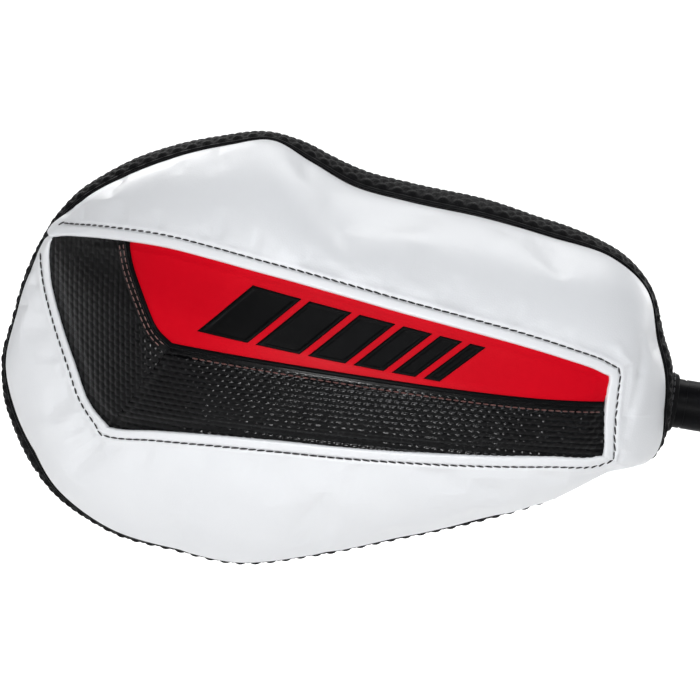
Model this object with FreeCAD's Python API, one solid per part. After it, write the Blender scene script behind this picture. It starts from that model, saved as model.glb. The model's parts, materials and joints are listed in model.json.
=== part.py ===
import FreeCAD, Part

import math
import os

# Padded handlebar hand guard on a stub of 22.2 mm handlebar.
# Millimetres.  The bar's axis is the X axis, its free inboard end face is x = 0 and +X points out of it.
# The guard's padded front faces -Y, its open back faces +Y and +Z is up.

Vec = FreeCAD.Vector

# ---- driving dimensions -------------------------------------------------------------------------
BAR_RADIUS = 11.1
BAR_WALL = 2.2
BAR_LENGTH = 300.0
GROOVE_X = -37.0
GROOVE_WIDTH = 1.0
GROOVE_DEPTH = 0.3
PLUG_INSERT = 18.0
PLUG_HEAD = 4.0
PLUG_HEAD_RADIUS = 12.2
PLUG_ROUND = 1.5
PLUG_GAP = 0.02
RUNNING_GAP = 0.05

APEX_X = -175.0          # where the front face stands furthest forward
APEX_Y = -98.0
FRONT_SWEEP = 60.0       # how far the front face falls back at FRONT_HALF from its apex
FRONT_HALF = 155.0
SEAM_Y = -35.0           # plane of the seam between the front cover and the rear gussets
OPENING_Y = 30.0         # plane of the open back
OPENING_INSET = 14.0
INBOARD_INSET = 4.0

COVER = 1.2
FOAM = 6.5
LINING = 0.8
STIFFENER = 2.0
GUSSET = 3.0
GAP = 0.2                # air between neighbouring layers and panels
INSERT_BASE = 3.0        # depth of the front foam's face behind the cover's face
RIDGE_HEIGHT = 9.0
BEVEL = 7.0              # width over which the insert sinks to the frame
PANEL_RECESS = 0.4
PANEL_INSET = 1.1
FOAM_INSET = 4.0
FOAM_SHARE = 0.8
PLATE_INSET = 6.0
PIPING = 2.2             # width and depth of the piping
FOAM_SPAN = (0.12, 0.94)     # what the foam and the lining fill, in shares of the way from frame to seam
LINING_SPAN = (0.18, 0.93)
RIB_GAP = 0.03           # gaps and trims along the rim, in ribs
LINING_TRIM = 0.1
PANEL_TRIM = 0.1
FRONT_TRIM = 0.3

CLAMP_X = -74.0
CLAMP_WIDTH = 18.0
CLAMP_HALF_HEIGHT = 24.0
CLAMP_DEPTH = 17.0
CLAMP_SCREW_Z = 17.5
CLAMP_SPLIT = 0.6
CLAMP_ROUND = 4.0
M5 = 2.5
M5_HEAD = 4.25
M5_HEAD_LENGTH = 5.0
M5_SOCKET = 2.3          # corner radius of the hexagon socket
M5_SOCKET_DEPTH = 3.0
HOLE_GAP = 0.15
ARM_THICKNESS = 4.0
ARM_HEIGHT = 14.0
ARM_SCREW_X = (-107.0, -127.0)
ARM_SCREW_LENGTH = 12.0
ARM_SEAT_RISE = 1.7      # the foot lies a little askew to the screws
ARM_MARGIN = 8.0
ARM_WEB_X = -68.0
ARM_BEND_Y = -40.0

CUFF_INNER = 11.35
CUFF_WALL = 1.9
CUFF_X = (-54.0, -41.0)
SLIT = 1.2               # cut through the cuff and the inboard gusset, from the bar to the open back
TAB_Y = (13.5, 24.5)
TAB_TOP = 1.35           # tab ends, in ribs above and below the slit
TAB_BOTTOM = -1.25
PATCH_TOP = -0.35
BINDING_WIDTH = 5.0
BINDING = 1.0
BINDING_TRIM = 0.12      # ribs between the slit and the ends of the tape
PATCH = 0.8
PATCH_GAP = 0.1
TAB_THICKNESS = 1.2
HOOK_MARGIN = 1.0

# One row per rib round the guard, anticlockwise from the slit at the inboard end, seen from the front:
# frame x and z (the inner edge of the white cover), seam x and z, and how far the gusset bulges there.
RIBS = [
    (-77.6, 2.0, -48.0, 1.0, 3.5),
    (-78.3, 12.0, -50.5, 17.0, 3.5),
    (-80.5, 18.2, -56.5, 32.0, 3.5),
    (-88.0, 20.8, -64.5, 51.0, 4.0),
    (-100.0, 23.6, -83.0, 64.5, 5.0),
    (-120.0, 26.8, -112.0, 69.0, 6.0),
    (-145.0, 29.7, -143.0, 72.5, 6.0),
    (-172.0, 32.5, -174.0, 74.0, 6.0),
    (-195.0, 35.2, -199.0, 76.5, 6.0),
    (-216.0, 37.4, -219.0, 84.0, 4.5),
    (-235.0, 39.0, -237.5, 90.5, 1.5),
    (-254.0, 40.5, -256.0, 85.5, 2.5),
    (-274.0, 41.2, -278.0, 76.5, 3.5),
    (-294.0, 39.6, -297.0, 65.5, 4.0),
    (-310.0, 37.0, -314.0, 52.5, 3.5),
    (-321.0, 34.0, -325.0, 39.0, 2.5),
    (-325.8, 28.5, -329.5, 29.0, 2.0),
    (-323.5, 16.0, -334.5, 13.0, 1.0),
    (-315.5, -1.0, -337.5, -7.0, 0.5),
    (-306.0, -17.0, -338.5, -27.0, 2.0),
    (-297.0, -31.5, -331.0, -47.0, 5.5),
    (-291.0, -38.5, -320.0, -63.5, 7.5),
    (-284.0, -40.3, -306.5, -79.0, 6.5),
    (-264.0, -36.5, -281.0, -92.5, 3.0),
    (-240.0, -33.2, -250.0, -97.0, 1.5),
    (-212.0, -30.5, -222.0, -98.0, 1.0),
    (-182.0, -28.3, -190.0, -89.0, 1.0),
    (-154.0, -25.6, -157.0, -76.5, 1.0),
    (-126.0, -22.5, -124.0, -63.0, 1.0),
    (-98.0, -19.1, -94.0, -48.5, 1.0),
    (-81.0, -16.8, -73.0, -33.5, 1.5),
    (-76.3, -13.0, -56.0, -24.5, 2.5),
    (-76.9, -5.5, -48.5, -13.0, 3.5),
]
COUNT = len(RIBS)
FRAME_RIBS = [Vec(rib[0], 0, rib[1]) for rib in RIBS]
SEAM_RIBS = [Vec(rib[2], 0, rib[3]) for rib in RIBS]

# Rib numbers where one panel ends and the next begins.
TOP_RIGHT = 2.3
RIDGE_TOP = 12.87
TOP_LEFT = 15.5
FOAM_TOP_END = 14.2      # the foam stops short of the thin outboard top corner
FOAM_SIDE_START = 17.5
BOTTOM_LEFT = 21.5
BOTTOM_RIGHT = 30.6

# Edge between the coloured panel and the textured panel, from the frame's top edge to its inboard edge.
RIDGE = [
    (-290.6, 39.2), (-287.0, 30.5), (-279.5, 18.5), (-271.5, 7.0), (-264.0, 2.0),
    (-235.0, 2.6), (-190.0, 3.2), (-145.0, 3.6), (-108.0, 4.4), (-79.3, 6.1),
]
RIDGE_CORNER = 4         # index in RIDGE of the corner at the foot of the steep leg

# Emblem: slanted raised bars between a bottom and a top line, each given as x, z at its two ends.
EMBLEM_WIDTHS = (22.0, 19.0, 16.0, 13.0, 10.0, 7.0)
EMBLEM_SPACE = 3.5
EMBLEM_BOTTOM = ((-254.0, 10.3), (-150.0, 6.9))
EMBLEM_TOP = ((-234.0, 33.0), (-133.0, 23.5))
EMBLEM_RISE = 1.6


# ---- curves round the guard ---------------------------------------------------------------------
def span_point(before, start, end, after, u):
    """Point on the centripetal Catmull-Rom span from start (u = 0) to end (u = 1)."""
    step_in = math.sqrt((start - before).Length)
    step = math.sqrt((end - start).Length)
    step_out = math.sqrt((after - end).Length)
    leave = (start - before) * (step / step_in) - (end - before) * (step / (step_in + step)) + (end - start)
    arrive = (end - start) - (after - start) * (step / (step + step_out)) + (after - end) * (step / step_out)
    return (
        start * (2 * u**3 - 3 * u**2 + 1)
        + leave * (u**3 - 2 * u**2 + u)
        + end * (3 * u**2 - 2 * u**3)
        + arrive * (u**3 - u**2)
    )


def spline_point(points, t):
    """Point at rib number t on the closed curve through points."""
    first = math.floor(t)
    return span_point(*[points[(first + k - 1) % len(points)] for k in range(4)], t - first)


def open_curve(points, per_span):
    """Dense (x, z) polyline along the smooth open curve through (x, z) points."""
    ends = [Vec(x, 0, z) for x, z in points]
    ends = [ends[0] * 2 - ends[1]] + ends + [ends[-1] * 2 - ends[-2]]
    dense = []
    for k in range(len(points) - 1):
        for step in range(per_span):
            dense.append(span_point(*ends[k:k + 4], step / per_span))
    dense.append(ends[-2])
    return [(point.x, point.z) for point in dense]


def smooth(share):
    share = min(1.0, max(0.0, share))
    return share * share * (3 - 2 * share)


def bulge_at(t):
    first = math.floor(t)
    share = smooth(t - first)
    return RIBS[first % COUNT][4] * (1 - share) + RIBS[(first + 1) % COUNT][4] * share


def outward(points, t):
    """Unit normal of a closed curve in the XZ plane, pointing away from the guard's middle."""
    along = spline_point(points, t + 0.02) - spline_point(points, t - 0.02)
    return Vec(along.z, 0, -along.x).normalize()


def front_y(x):
    return APEX_Y + FRONT_SWEEP * (abs(x - APEX_X) / FRONT_HALF) ** 3


def bezier(share, a, b, c, d):
    rest = 1 - share
    return a * rest**3 + 3 * b * rest**2 * share + 3 * c * rest * share**2 + d * share**3


# ---- surfaces -----------------------------------------------------------------------------------
def cover_point(t, v):
    """Outer face of the white cover: v = 0 on the frame round the insert, v = 1 on the seam."""
    frame = spline_point(FRAME_RIBS, t)
    seam = spline_point(SEAM_RIBS, t)
    across = frame + (seam - frame) * bezier(v, 0.0, 0.42, 0.93, 1.0)
    start_y = front_y(frame.x)
    return Vec(across.x, start_y + (SEAM_Y - start_y) * bezier(v, 0.0, 0.10, 0.55, 1.0), across.z)


def gusset_point(t, w):
    """Outer face of the gussets: w = 0 on the seam, w = 1 on the rim of the open back."""
    seam = spline_point(SEAM_RIBS, t)
    towards_outboard = smooth((-60.0 - seam.x) / 60.0)
    inset = INBOARD_INSET + (OPENING_INSET - INBOARD_INSET) * towards_outboard
    swell = bulge_at(t) * math.sin(math.pi * min(1.0, w) ** 0.7)
    shift = outward(SEAM_RIBS, t) * (swell - inset * w * w)
    return Vec(seam.x + shift.x, SEAM_Y + (OPENING_Y - SEAM_Y) * w, seam.z + shift.z)


def offset_point(surface, t, v, depth):
    """Point depth millimetres behind (inside) a surface."""
    small = 0.01
    low_v = max(0.0, v - small)
    high_v = min(1.0, v + small)
    along = surface(t + small, v) - surface(t - small, v)
    across = surface(t, high_v) - surface(t, low_v)
    normal = across.cross(along).normalize()
    return surface(t, v) - normal * depth


def distance_to(path, x, z):
    """Shortest distance from a point of the XZ plane to a polyline of (x, z) points."""
    best = 1e9
    for (ax, az), (bx, bz) in zip(path, path[1:]):
        run_x = bx - ax
        run_z = bz - az
        share = ((x - ax) * run_x + (z - az) * run_z) / (run_x**2 + run_z**2)
        share = min(1.0, max(0.0, share))
        best = min(best, math.hypot(x - ax - share * run_x, z - az - share * run_z))
    return best


FRAME_STEPS = 3
FRAME_CURVE = [spline_point(FRAME_RIBS, k / FRAME_STEPS) for k in range(FRAME_STEPS * COUNT + 1)]
FRAME_PATH = [(point.x, point.z) for point in FRAME_CURVE]
RIDGE_STEPS = 4
RIDGE_PATH = open_curve(RIDGE, RIDGE_STEPS)


def on_coloured_side(x, z):
    """True above the lower run of the ridge and inboard of its steep leg."""
    for (ax, az), (bx, bz) in zip(RIDGE_PATH, RIDGE_PATH[1:]):
        if ax <= x <= bx:
            return z > az + (bz - az) * (x - ax) / (bx - ax)
    return x > RIDGE_PATH[-1][0]


def insert_height(x, z):
    """How far the insert stands forward of the front face's base curve."""
    ridge_distance = distance_to(RIDGE_PATH, x, z)
    edge_distance = distance_to(FRAME_PATH, x, z)
    share = ridge_distance / max(0.001, ridge_distance + edge_distance)
    fall = 0.55 if on_coloured_side(x, z) else 1.0
    return RIDGE_HEIGHT * (1 - fall * share * share) * smooth(edge_distance / BEVEL)


def insert_point(x, z, depth):
    return Vec(x, front_y(x) + PANEL_RECESS - insert_height(x, z) + depth, z)


def base_point(x, z, depth):
    return Vec(x, front_y(x) + depth, z)


# ---- solids from grids --------------------------------------------------------------------------
def spline_face(grid):
    surface = Part.BSplineSurface()
    surface.interpolate(grid)
    return surface


def border_curves(surface):
    u_low, u_high, v_low, v_high = surface.bounds()
    return [surface.uIso(u_low), surface.uIso(u_high), surface.vIso(v_low), surface.vIso(v_high)]


def side_face(near, far):
    """Ruled face between two edges that run the same way; the twisted one has the larger area."""
    both = [Part.makeRuledSurface(near, far), Part.makeRuledSurface(near, far.reversed())]
    return min(both, key=lambda face: face.Area)


def grid_solid(front, back):
    """Closed solid between two grids of points of the same size."""
    front_face = spline_face(front)
    back_face = spline_face(back)
    faces = [front_face.toShape(), back_face.toShape()]
    for near, far in zip(border_curves(front_face), border_curves(back_face)):
        faces.append(side_face(near.toShape(), far.toShape()))
    shell = Part.makeShell(faces)
    shell.sewShape()
    solid = Part.makeSolid(shell)
    if solid.Volume < 0:
        solid.reverse()
    return solid


def shares(count):
    return [k / (count - 1) for k in range(count)]


def ring_solid(surface, t_low, t_high, v_low, v_high, near, far, rows=7, per_rib=4):
    """Solid of one panel of a surface, between two depths behind it."""
    columns = max(4, int(round((t_high - t_low) * per_rib)) + 1)
    stations = [t_low + (t_high - t_low) * s for s in shares(columns)]
    levels = [v_low + (v_high - v_low) * s for s in shares(rows)]
    front = [[offset_point(surface, t, v, near) for v in levels] for t in stations]
    back = [[offset_point(surface, t, v, far) for v in levels] for t in stations]
    return grid_solid(front, back)


def patch_solid(low, high, near, far, surface=insert_point, columns=32, rows=17):
    """Solid between two (x, z) curves of the insert, each a function of a share from 0 to 1."""
    front = []
    back = []
    for s in shares(columns):
        ax, az = low(s)
        bx, bz = high(s)
        cells = [(ax + (bx - ax) * r, az + (bz - az) * r) for r in shares(rows)]
        front.append([surface(x, z, near) for x, z in cells])
        back.append([surface(x, z, far) for x, z in cells])
    return grid_solid(front, back)


def along_path(points):
    """Function that runs evenly along a polyline of (x, z) points."""
    lengths = [0.0]
    for (ax, az), (bx, bz) in zip(points, points[1:]):
        lengths.append(lengths[-1] + math.hypot(bx - ax, bz - az))

    def at(share):
        target = share * lengths[-1]
        k = 1
        while k < len(lengths) - 1 and lengths[k] < target:
            k += 1
        part = (target - lengths[k - 1]) / (lengths[k] - lengths[k - 1])
        ax, az = points[k - 1]
        bx, bz = points[k]
        return ax + (bx - ax) * part, az + (bz - az) * part

    return at


def shifted(points, distance):
    """A polyline moved sideways by an even distance, to its left as it is walked, with mitred corners."""
    normals = []
    for (ax, ay), (bx, by) in zip(points, points[1:]):
        length = math.hypot(bx - ax, by - ay)
        normals.append((-(by - ay) / length, (bx - ax) / length))
    out = []
    for k, (x, y) in enumerate(points):
        ax, ay = normals[max(0, k - 1)]
        bx, by = normals[min(len(normals) - 1, k)]
        scale = distance / (1 + ax * bx + ay * by)
        out.append((x + scale * (ax + bx), y + scale * (ay + by)))
    return out


def frame_run(t_low, t_high, inset, count=24):
    """Points along the frame between two ribs, moved inwards."""
    points = []
    for s in shares(count):
        t = t_low + (t_high - t_low) * s
        point = spline_point(FRAME_RIBS, t) - outward(FRAME_RIBS, t) * inset
        points.append((point.x, point.z))
    return points


def round_bar(radius, start, end):
    """Cylinder along the X axis."""
    return Part.makeCylinder(radius, abs(end - start), Vec(min(start, end), 0, 0), Vec(1, 0, 0))


def block(low, high):
    size = Vec(*high) - Vec(*low)
    return Part.makeBox(size.x, size.y, size.z, Vec(*low))


def save(name, shape):
    if not shape.isValid() or any(s.Volume <= 0 for s in shape.Solids):
        print("not a sound solid:", name)
    shape.exportStep(f"parts/{name}.step")
    box = shape.BoundBox
    print(f"{name:18s} solids {len(shape.Solids)}  volume {shape.Volume / 1000:8.2f} cm3  "
          f"x {box.XMin:.1f}..{box.XMax:.1f}  y {box.YMin:.1f}..{box.YMax:.1f}  z {box.ZMin:.1f}..{box.ZMax:.1f}")


# ---- the bar ------------------------------------------------------------------------------------
def bar_tube():
    tube = round_bar(BAR_RADIUS, -BAR_LENGTH, 0).cut(round_bar(BAR_RADIUS - BAR_WALL, -BAR_LENGTH, 0))
    groove = round_bar(BAR_RADIUS + 1, GROOVE_X - GROOVE_WIDTH, GROOVE_X)
    groove = groove.cut(round_bar(BAR_RADIUS - GROOVE_DEPTH, GROOVE_X - GROOVE_WIDTH, GROOVE_X))
    return tube.cut(groove)


def bar_end_plug():
    stem = round_bar(BAR_RADIUS - BAR_WALL - PLUG_GAP, -BAR_LENGTH - 1, -BAR_LENGTH + PLUG_INSERT)
    head = round_bar(PLUG_HEAD_RADIUS, -BAR_LENGTH - PLUG_HEAD, -BAR_LENGTH - PLUG_GAP)
    outer_rim = [edge for edge in head.Edges if edge.BoundBox.XMax < -BAR_LENGTH - PLUG_HEAD + 0.01]
    return head.makeFillet(PLUG_ROUND, outer_rim).fuse(stem)


# ---- clamp, arm and stiffener -------------------------------------------------------------------
def clamp_halves():
    """The base in front of the bar and the cap behind it."""
    low_x = CLAMP_X - CLAMP_WIDTH / 2
    high_x = CLAMP_X + CLAMP_WIDTH / 2
    whole = block((low_x, -CLAMP_DEPTH, -CLAMP_HALF_HEIGHT), (high_x, CLAMP_DEPTH, CLAMP_HALF_HEIGHT))
    whole = whole.makeFillet(CLAMP_ROUND, [e for e in whole.Edges if e.BoundBox.XLength > 1])
    whole = whole.cut(round_bar(BAR_RADIUS + RUNNING_GAP, low_x - 1, high_x + 1))
    split_low = (low_x - 1, -CLAMP_SPLIT / 2, -CLAMP_HALF_HEIGHT - 1)
    split_high = (high_x + 1, CLAMP_SPLIT / 2, CLAMP_HALF_HEIGHT + 1)
    for side in (1, -1):
        start = Vec(CLAMP_X, -CLAMP_DEPTH - 1, side * CLAMP_SCREW_Z)
        whole = whole.cut(Part.makeCylinder(M5 + HOLE_GAP, 2 * CLAMP_DEPTH + 2, start, Vec(0, 1, 0)))
        seat = Vec(CLAMP_X, CLAMP_DEPTH - M5_HEAD_LENGTH, side * CLAMP_SCREW_Z)
        whole = whole.cut(Part.makeCylinder(M5_HEAD + HOLE_GAP, M5_HEAD_LENGTH + 1, seat, Vec(0, 1, 0)))
    return sorted(whole.cut(block(split_low, split_high)).Solids, key=lambda half: half.CenterOfMass.y)


def socket_screw(head_top, axis, shank):
    """M5 socket-head screw: head_top is the centre of the head's outer face, axis points along the shank."""
    screw = Part.makeCylinder(M5_HEAD, M5_HEAD_LENGTH, head_top, axis)
    screw = screw.fuse(Part.makeCylinder(M5, shank + M5_HEAD_LENGTH, head_top, axis))
    angles = [k * math.pi / 3 for k in range(7)]
    corners = [Vec(M5_SOCKET * math.cos(angle), M5_SOCKET * math.sin(angle), 0) for angle in angles]
    socket = Part.Face(Part.makePolygon(corners)).extrude(Vec(0, 0, M5_SOCKET_DEPTH))
    socket.Placement = FreeCAD.Placement(head_top, FreeCAD.Rotation(Vec(0, 0, 1), axis))
    return screw.cut(socket)


def clamp_screws():
    """They hold cap, base and the arm's flange together, and the flange is tapped for them."""
    shank = 2 * CLAMP_DEPTH - M5_HEAD_LENGTH + GAP + ARM_THICKNESS
    return [
        socket_screw(Vec(CLAMP_X, CLAMP_DEPTH, side * CLAMP_SCREW_Z), Vec(0, -1, 0), shank)
        for side in (1, -1)
    ]


def wall_y(x):
    """Hand side of the front lining."""
    return front_y(x) + INSERT_BASE + FOAM + STIFFENER + LINING + 3 * GAP


def support_arm():
    """Flat bar bent from the clamp's front face round to a foot along the front wall."""
    flange_y = -CLAMP_DEPTH - GAP
    foot_end = ARM_SCREW_X[1] - ARM_MARGIN
    foot_start = ARM_SCREW_X[0] + ARM_MARGIN
    outer = [
        (ARM_WEB_X, flange_y),
        (ARM_WEB_X, ARM_BEND_Y),
        (foot_start, wall_y(foot_start) + GAP),
        (foot_end, wall_y(foot_end) + GAP),
    ]
    inner = shifted(outer, -ARM_THICKNESS)
    outline = [Vec(x, y, -ARM_HEIGHT / 2) for x, y in outer + inner[::-1]]
    bar = Part.Face(Part.makePolygon(outline + outline[:1])).extrude(Vec(0, 0, ARM_HEIGHT))
    half_height = CLAMP_HALF_HEIGHT - 1
    flange = block(
        (CLAMP_X - CLAMP_WIDTH / 2 + 1, flange_y - ARM_THICKNESS, -half_height),
        (ARM_WEB_X, flange_y, half_height),
    )
    arm = bar.fuse(flange)
    for side in (1, -1):
        start = Vec(CLAMP_X, flange_y - 2 * ARM_THICKNESS, side * CLAMP_SCREW_Z)
        arm = arm.cut(Part.makeCylinder(M5 + HOLE_GAP, 3 * ARM_THICKNESS, start, Vec(0, 1, 0)))
    return without_arm_holes(arm).removeSplitter()


def without_arm_holes(shape):
    """A shape with the clearance holes of the screws that hold the arm's foot to the front wall."""
    for x in ARM_SCREW_X:
        start = Vec(x, wall_y(x) - ARM_SCREW_LENGTH, 0)
        shape = shape.cut(Part.makeCylinder(M5 + HOLE_GAP, 3 * ARM_SCREW_LENGTH, start, Vec(0, 1, 0)))
    return shape


def arm_screws():
    screws = []
    for x in ARM_SCREW_X:
        seat = wall_y(x) + ARM_THICKNESS + ARM_SEAT_RISE
        screws.append(socket_screw(Vec(x, seat + M5_HEAD_LENGTH, 0), Vec(0, -1, 0), ARM_SCREW_LENGTH))
    return screws


def across_front(inset):
    """Lower and upper edge, outboard end first, of a sheet that ends inset millimetres inside the frame."""
    low = along_path(frame_run(BOTTOM_LEFT + FRONT_TRIM, BOTTOM_RIGHT - FRONT_TRIM, inset))
    high = along_path(frame_run(TOP_LEFT - FRONT_TRIM, TOP_RIGHT + FRONT_TRIM, inset))
    return low, high


def front_layers():
    """Foam, stiffener and lining across the front, each between two depths behind the base curve."""
    foam_back = INSERT_BASE + FOAM
    plate_back = foam_back + GAP + STIFFENER
    sheets = {
        "foam_front": (FOAM_INSET, INSERT_BASE, foam_back),
        "stiffener_plate": (PLATE_INSET, foam_back + GAP, plate_back),
        "lining_front": (PLATE_INSET, plate_back + GAP, plate_back + GAP + LINING),
    }
    return {
        name: without_arm_holes(patch_solid(*across_front(inset), near, far, surface=base_point, rows=4))
        for name, (inset, near, far) in sheets.items()
    }


# ---- soft goods ---------------------------------------------------------------------------------
def foam_panels():
    start = COVER + GAP
    end = start + FOAM
    spans = {
        "foam_top": (TOP_RIGHT, FOAM_TOP_END),
        "foam_outboard": (FOAM_SIDE_START, BOTTOM_LEFT),
        "foam_bottom": (BOTTOM_LEFT, BOTTOM_RIGHT),
        "foam_inboard": (BOTTOM_RIGHT - COUNT, TOP_RIGHT),
    }
    return {
        name: ring_solid(cover_point, low + RIB_GAP, high - RIB_GAP, *FOAM_SPAN, start, end)
        for name, (low, high) in spans.items()
    }


def covers():
    """The upper cover takes in the top and the inboard end, the lower one the bottom and the outboard end."""
    spans = {
        "upper_cover": (BOTTOM_RIGHT - COUNT, TOP_LEFT),
        "lower_cover": (TOP_LEFT, BOTTOM_RIGHT),
    }
    return {
        name: ring_solid(cover_point, low + RIB_GAP, high - RIB_GAP, 0.0, 1.0, 0.0, COVER, rows=8)
        for name, (low, high) in spans.items()
    }


def linings():
    near = COVER + FOAM + 3 * GAP
    far = near + LINING
    upper = ring_solid(cover_point, BOTTOM_RIGHT - COUNT + LINING_TRIM, FOAM_TOP_END, *LINING_SPAN, near, far)
    lower = ring_solid(cover_point, FOAM_SIDE_START, BOTTOM_RIGHT - LINING_TRIM, *LINING_SPAN, near, far)
    return {"lining_upper": upper, "lining_lower": lower}


def gussets():
    spans = {
        "gusset_top": (TOP_RIGHT, TOP_LEFT),
        "gusset_outboard": (TOP_LEFT, BOTTOM_LEFT),
        "gusset_bottom": (BOTTOM_LEFT, BOTTOM_RIGHT),
        "gusset_inboard": (BOTTOM_RIGHT - COUNT, TOP_RIGHT),
    }
    start = y_share(SEAM_Y + PIPING + 3 * GAP)
    panels = {
        name: ring_solid(gusset_point, low + RIB_GAP, high - RIB_GAP, start, 1.0, 0.0, GUSSET)
        for name, (low, high) in spans.items()
    }
    outer, inner = CUFF_X
    hole = round_bar(CUFF_INNER + CUFF_WALL + GAP, outer - 2 * GUSSET, inner + 2 * GUSSET)
    panels["gusset_inboard"] = without_slit(panels["gusset_inboard"].cut(hole))
    return panels


def without_slit(shape):
    outer, inner = CUFF_X
    return shape.cut(block((outer - 2 * GUSSET, 0, -SLIT / 2), (inner + 2 * GUSSET, 2 * OPENING_Y, SLIT / 2)))


def bar_cuff():
    return without_slit(round_bar(CUFF_INNER + CUFF_WALL, *CUFF_X).cut(round_bar(CUFF_INNER, *CUFF_X)))


def opening_binding():
    """Tape round the rim of the open back, from one side of the slit to the other."""
    start = 1 - BINDING_WIDTH / (OPENING_Y - SEAM_Y)
    return ring_solid(
        gusset_point, BINDING_TRIM, COUNT - BINDING_TRIM, start, 1.0, -GAP - BINDING, -GAP, rows=4
    )


def y_share(y):
    return (y - SEAM_Y) / (OPENING_Y - SEAM_Y)


def closure():
    """Hook-and-loop tab across the slit; each layer: end ribs, margin, height of its hand side, thickness."""
    layer = PATCH_GAP + PATCH
    layers = {
        "loop_patch": (TAB_BOTTOM, PATCH_TOP, 0.0, PATCH_GAP, PATCH),
        "hook_patch": (TAB_BOTTOM + RIB_GAP, PATCH_TOP - RIB_GAP, HOOK_MARGIN, PATCH_GAP + layer, PATCH),
        "closure_tab": (TAB_BOTTOM, TAB_TOP, 0.0, PATCH_GAP + 2 * layer, TAB_THICKNESS),
    }
    made = {}
    for name, (t_low, t_high, margin, rise, thickness) in layers.items():
        low = y_share(TAB_Y[0] + margin)
        high = y_share(TAB_Y[1] - margin)
        made[name] = ring_solid(
            gusset_point, t_low, t_high, low, high, -rise - thickness, -rise, rows=4, per_rib=6
        )
    return made


def seam_piping():
    """Cord set into the seam between the cover and the gussets, in two lengths."""
    start = y_share(SEAM_Y + GAP)
    end = y_share(SEAM_Y + GAP + PIPING)
    half = COUNT / 2
    return [
        ring_solid(gusset_point, low, high, start, end, 0.0, PIPING, rows=4)
        for low, high in ((RIB_GAP, half - RIB_GAP), (half + RIB_GAP, COUNT - RIB_GAP))
    ]


# ---- insert -------------------------------------------------------------------------------------
def insert_panels():
    """The coloured panel above the ridge, with its sharp top corner cut off, and the textured ones round it."""
    upper_edge = shifted(RIDGE_PATH, PIPING / 2 + GAP)[2:]
    lower_edge = shifted(RIDGE_PATH, -PIPING / 2 - GAP)
    corner = RIDGE_CORNER * RIDGE_STEPS
    steep = along_path(lower_edge[:corner + 1])
    level = along_path(lower_edge[corner:])
    frame_top = along_path(frame_run(RIDGE_TOP - 2 * PANEL_TRIM, TOP_RIGHT, PANEL_INSET))
    frame_left = along_path(frame_run(TOP_LEFT - PANEL_TRIM, BOTTOM_LEFT - PANEL_TRIM, PANEL_INSET))
    frame_bottom = along_path(frame_run(BOTTOM_LEFT + PANEL_TRIM, BOTTOM_RIGHT, PANEL_INSET))
    return {
        "colour_panel": patch_solid(along_path(upper_edge), frame_top, 0.0, COVER),
        "textured_side_panel": patch_solid(frame_left, steep, 0.0, COVER),
        "textured_lower_panel": patch_solid(frame_bottom, level, 0.0, COVER),
    }


def foam_depth(x, z):
    """Depth of the insert foam's face, which is shaped more softly than the panels over it."""
    return PANEL_RECESS + COVER + 3 * GAP - FOAM_SHARE * insert_height(x, z)


def insert_foam():
    """Shaped pad that lifts the insert's panels off the flat front foam."""
    low, high = across_front(FOAM_INSET)
    front = []
    back = []
    for s in shares(44):
        ax, az = low(s)
        bx, bz = high(s)
        cells = [(ax + (bx - ax) * r, az + (bz - az) * r) for r in shares(17)]
        front.append([base_point(x, z, foam_depth(x, z)) for x, z in cells])
        back.append([base_point(x, z, INSERT_BASE - GAP) for x, z in cells])
    return grid_solid(front, back)


def panel_piping():
    above = shifted(RIDGE_PATH, PIPING / 2)
    below = shifted(RIDGE_PATH, -PIPING / 2)
    front = []
    back = []
    for (ax, az), (bx, bz) in zip(above, below):
        cells = [(ax + (bx - ax) * r, az + (bz - az) * r) for r in shares(4)]
        front.append([insert_point(x, z, COVER - PIPING) for x, z in cells])
        back.append([insert_point(x, z, COVER) for x, z in cells])
    return grid_solid(front, back)


def between(line, share):
    (ax, az), (bx, bz) = line
    return ax + (bx - ax) * share, az + (bz - az) * share


def emblem():
    """Row of slanted bars that narrow towards the inboard end."""
    total = sum(EMBLEM_WIDTHS) + EMBLEM_SPACE * (len(EMBLEM_WIDTHS) - 1)
    bars = []
    start = 0.0
    for width in EMBLEM_WIDTHS:
        ends = (start / total, (start + width) / total)
        low = along_path([between(EMBLEM_BOTTOM, end) for end in ends])
        high = along_path([between(EMBLEM_TOP, end) for end in ends])
        bars.append(patch_solid(low, high, -EMBLEM_RISE, -2 * GAP, columns=8, rows=12))
        start += width + EMBLEM_SPACE
    return bars


# ---- build --------------------------------------------------------------------------------------
def main():
    os.makedirs("parts", exist_ok=True)
    clamp_base, clamp_cap = clamp_halves()
    nodes = {
        "bar_tube": bar_tube(),
        "bar_end_plug": bar_end_plug(),
        "clamp_base": clamp_base,
        "clamp_cap": clamp_cap,
        "clamp_screws": Part.makeCompound(clamp_screws()),
        "support_arm": support_arm(),
        "arm_screws": Part.makeCompound(arm_screws()),
        "insert_foam": insert_foam(),
        "panel_piping": panel_piping(),
        "emblem": Part.makeCompound(emblem()),
        "seam_piping": Part.makeCompound(seam_piping()),
        "opening_binding": opening_binding(),
        "bar_cuff": bar_cuff(),
    }
    for group in (front_layers(), foam_panels(), covers(), linings(), gussets(), insert_panels(), closure()):
        nodes.update(group)
    for name, shape in nodes.items():
        save(name, shape)


main()
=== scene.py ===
import json
import math

import bmesh
import bpy
import numpy as np
from mathutils import Matrix, Vector


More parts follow.
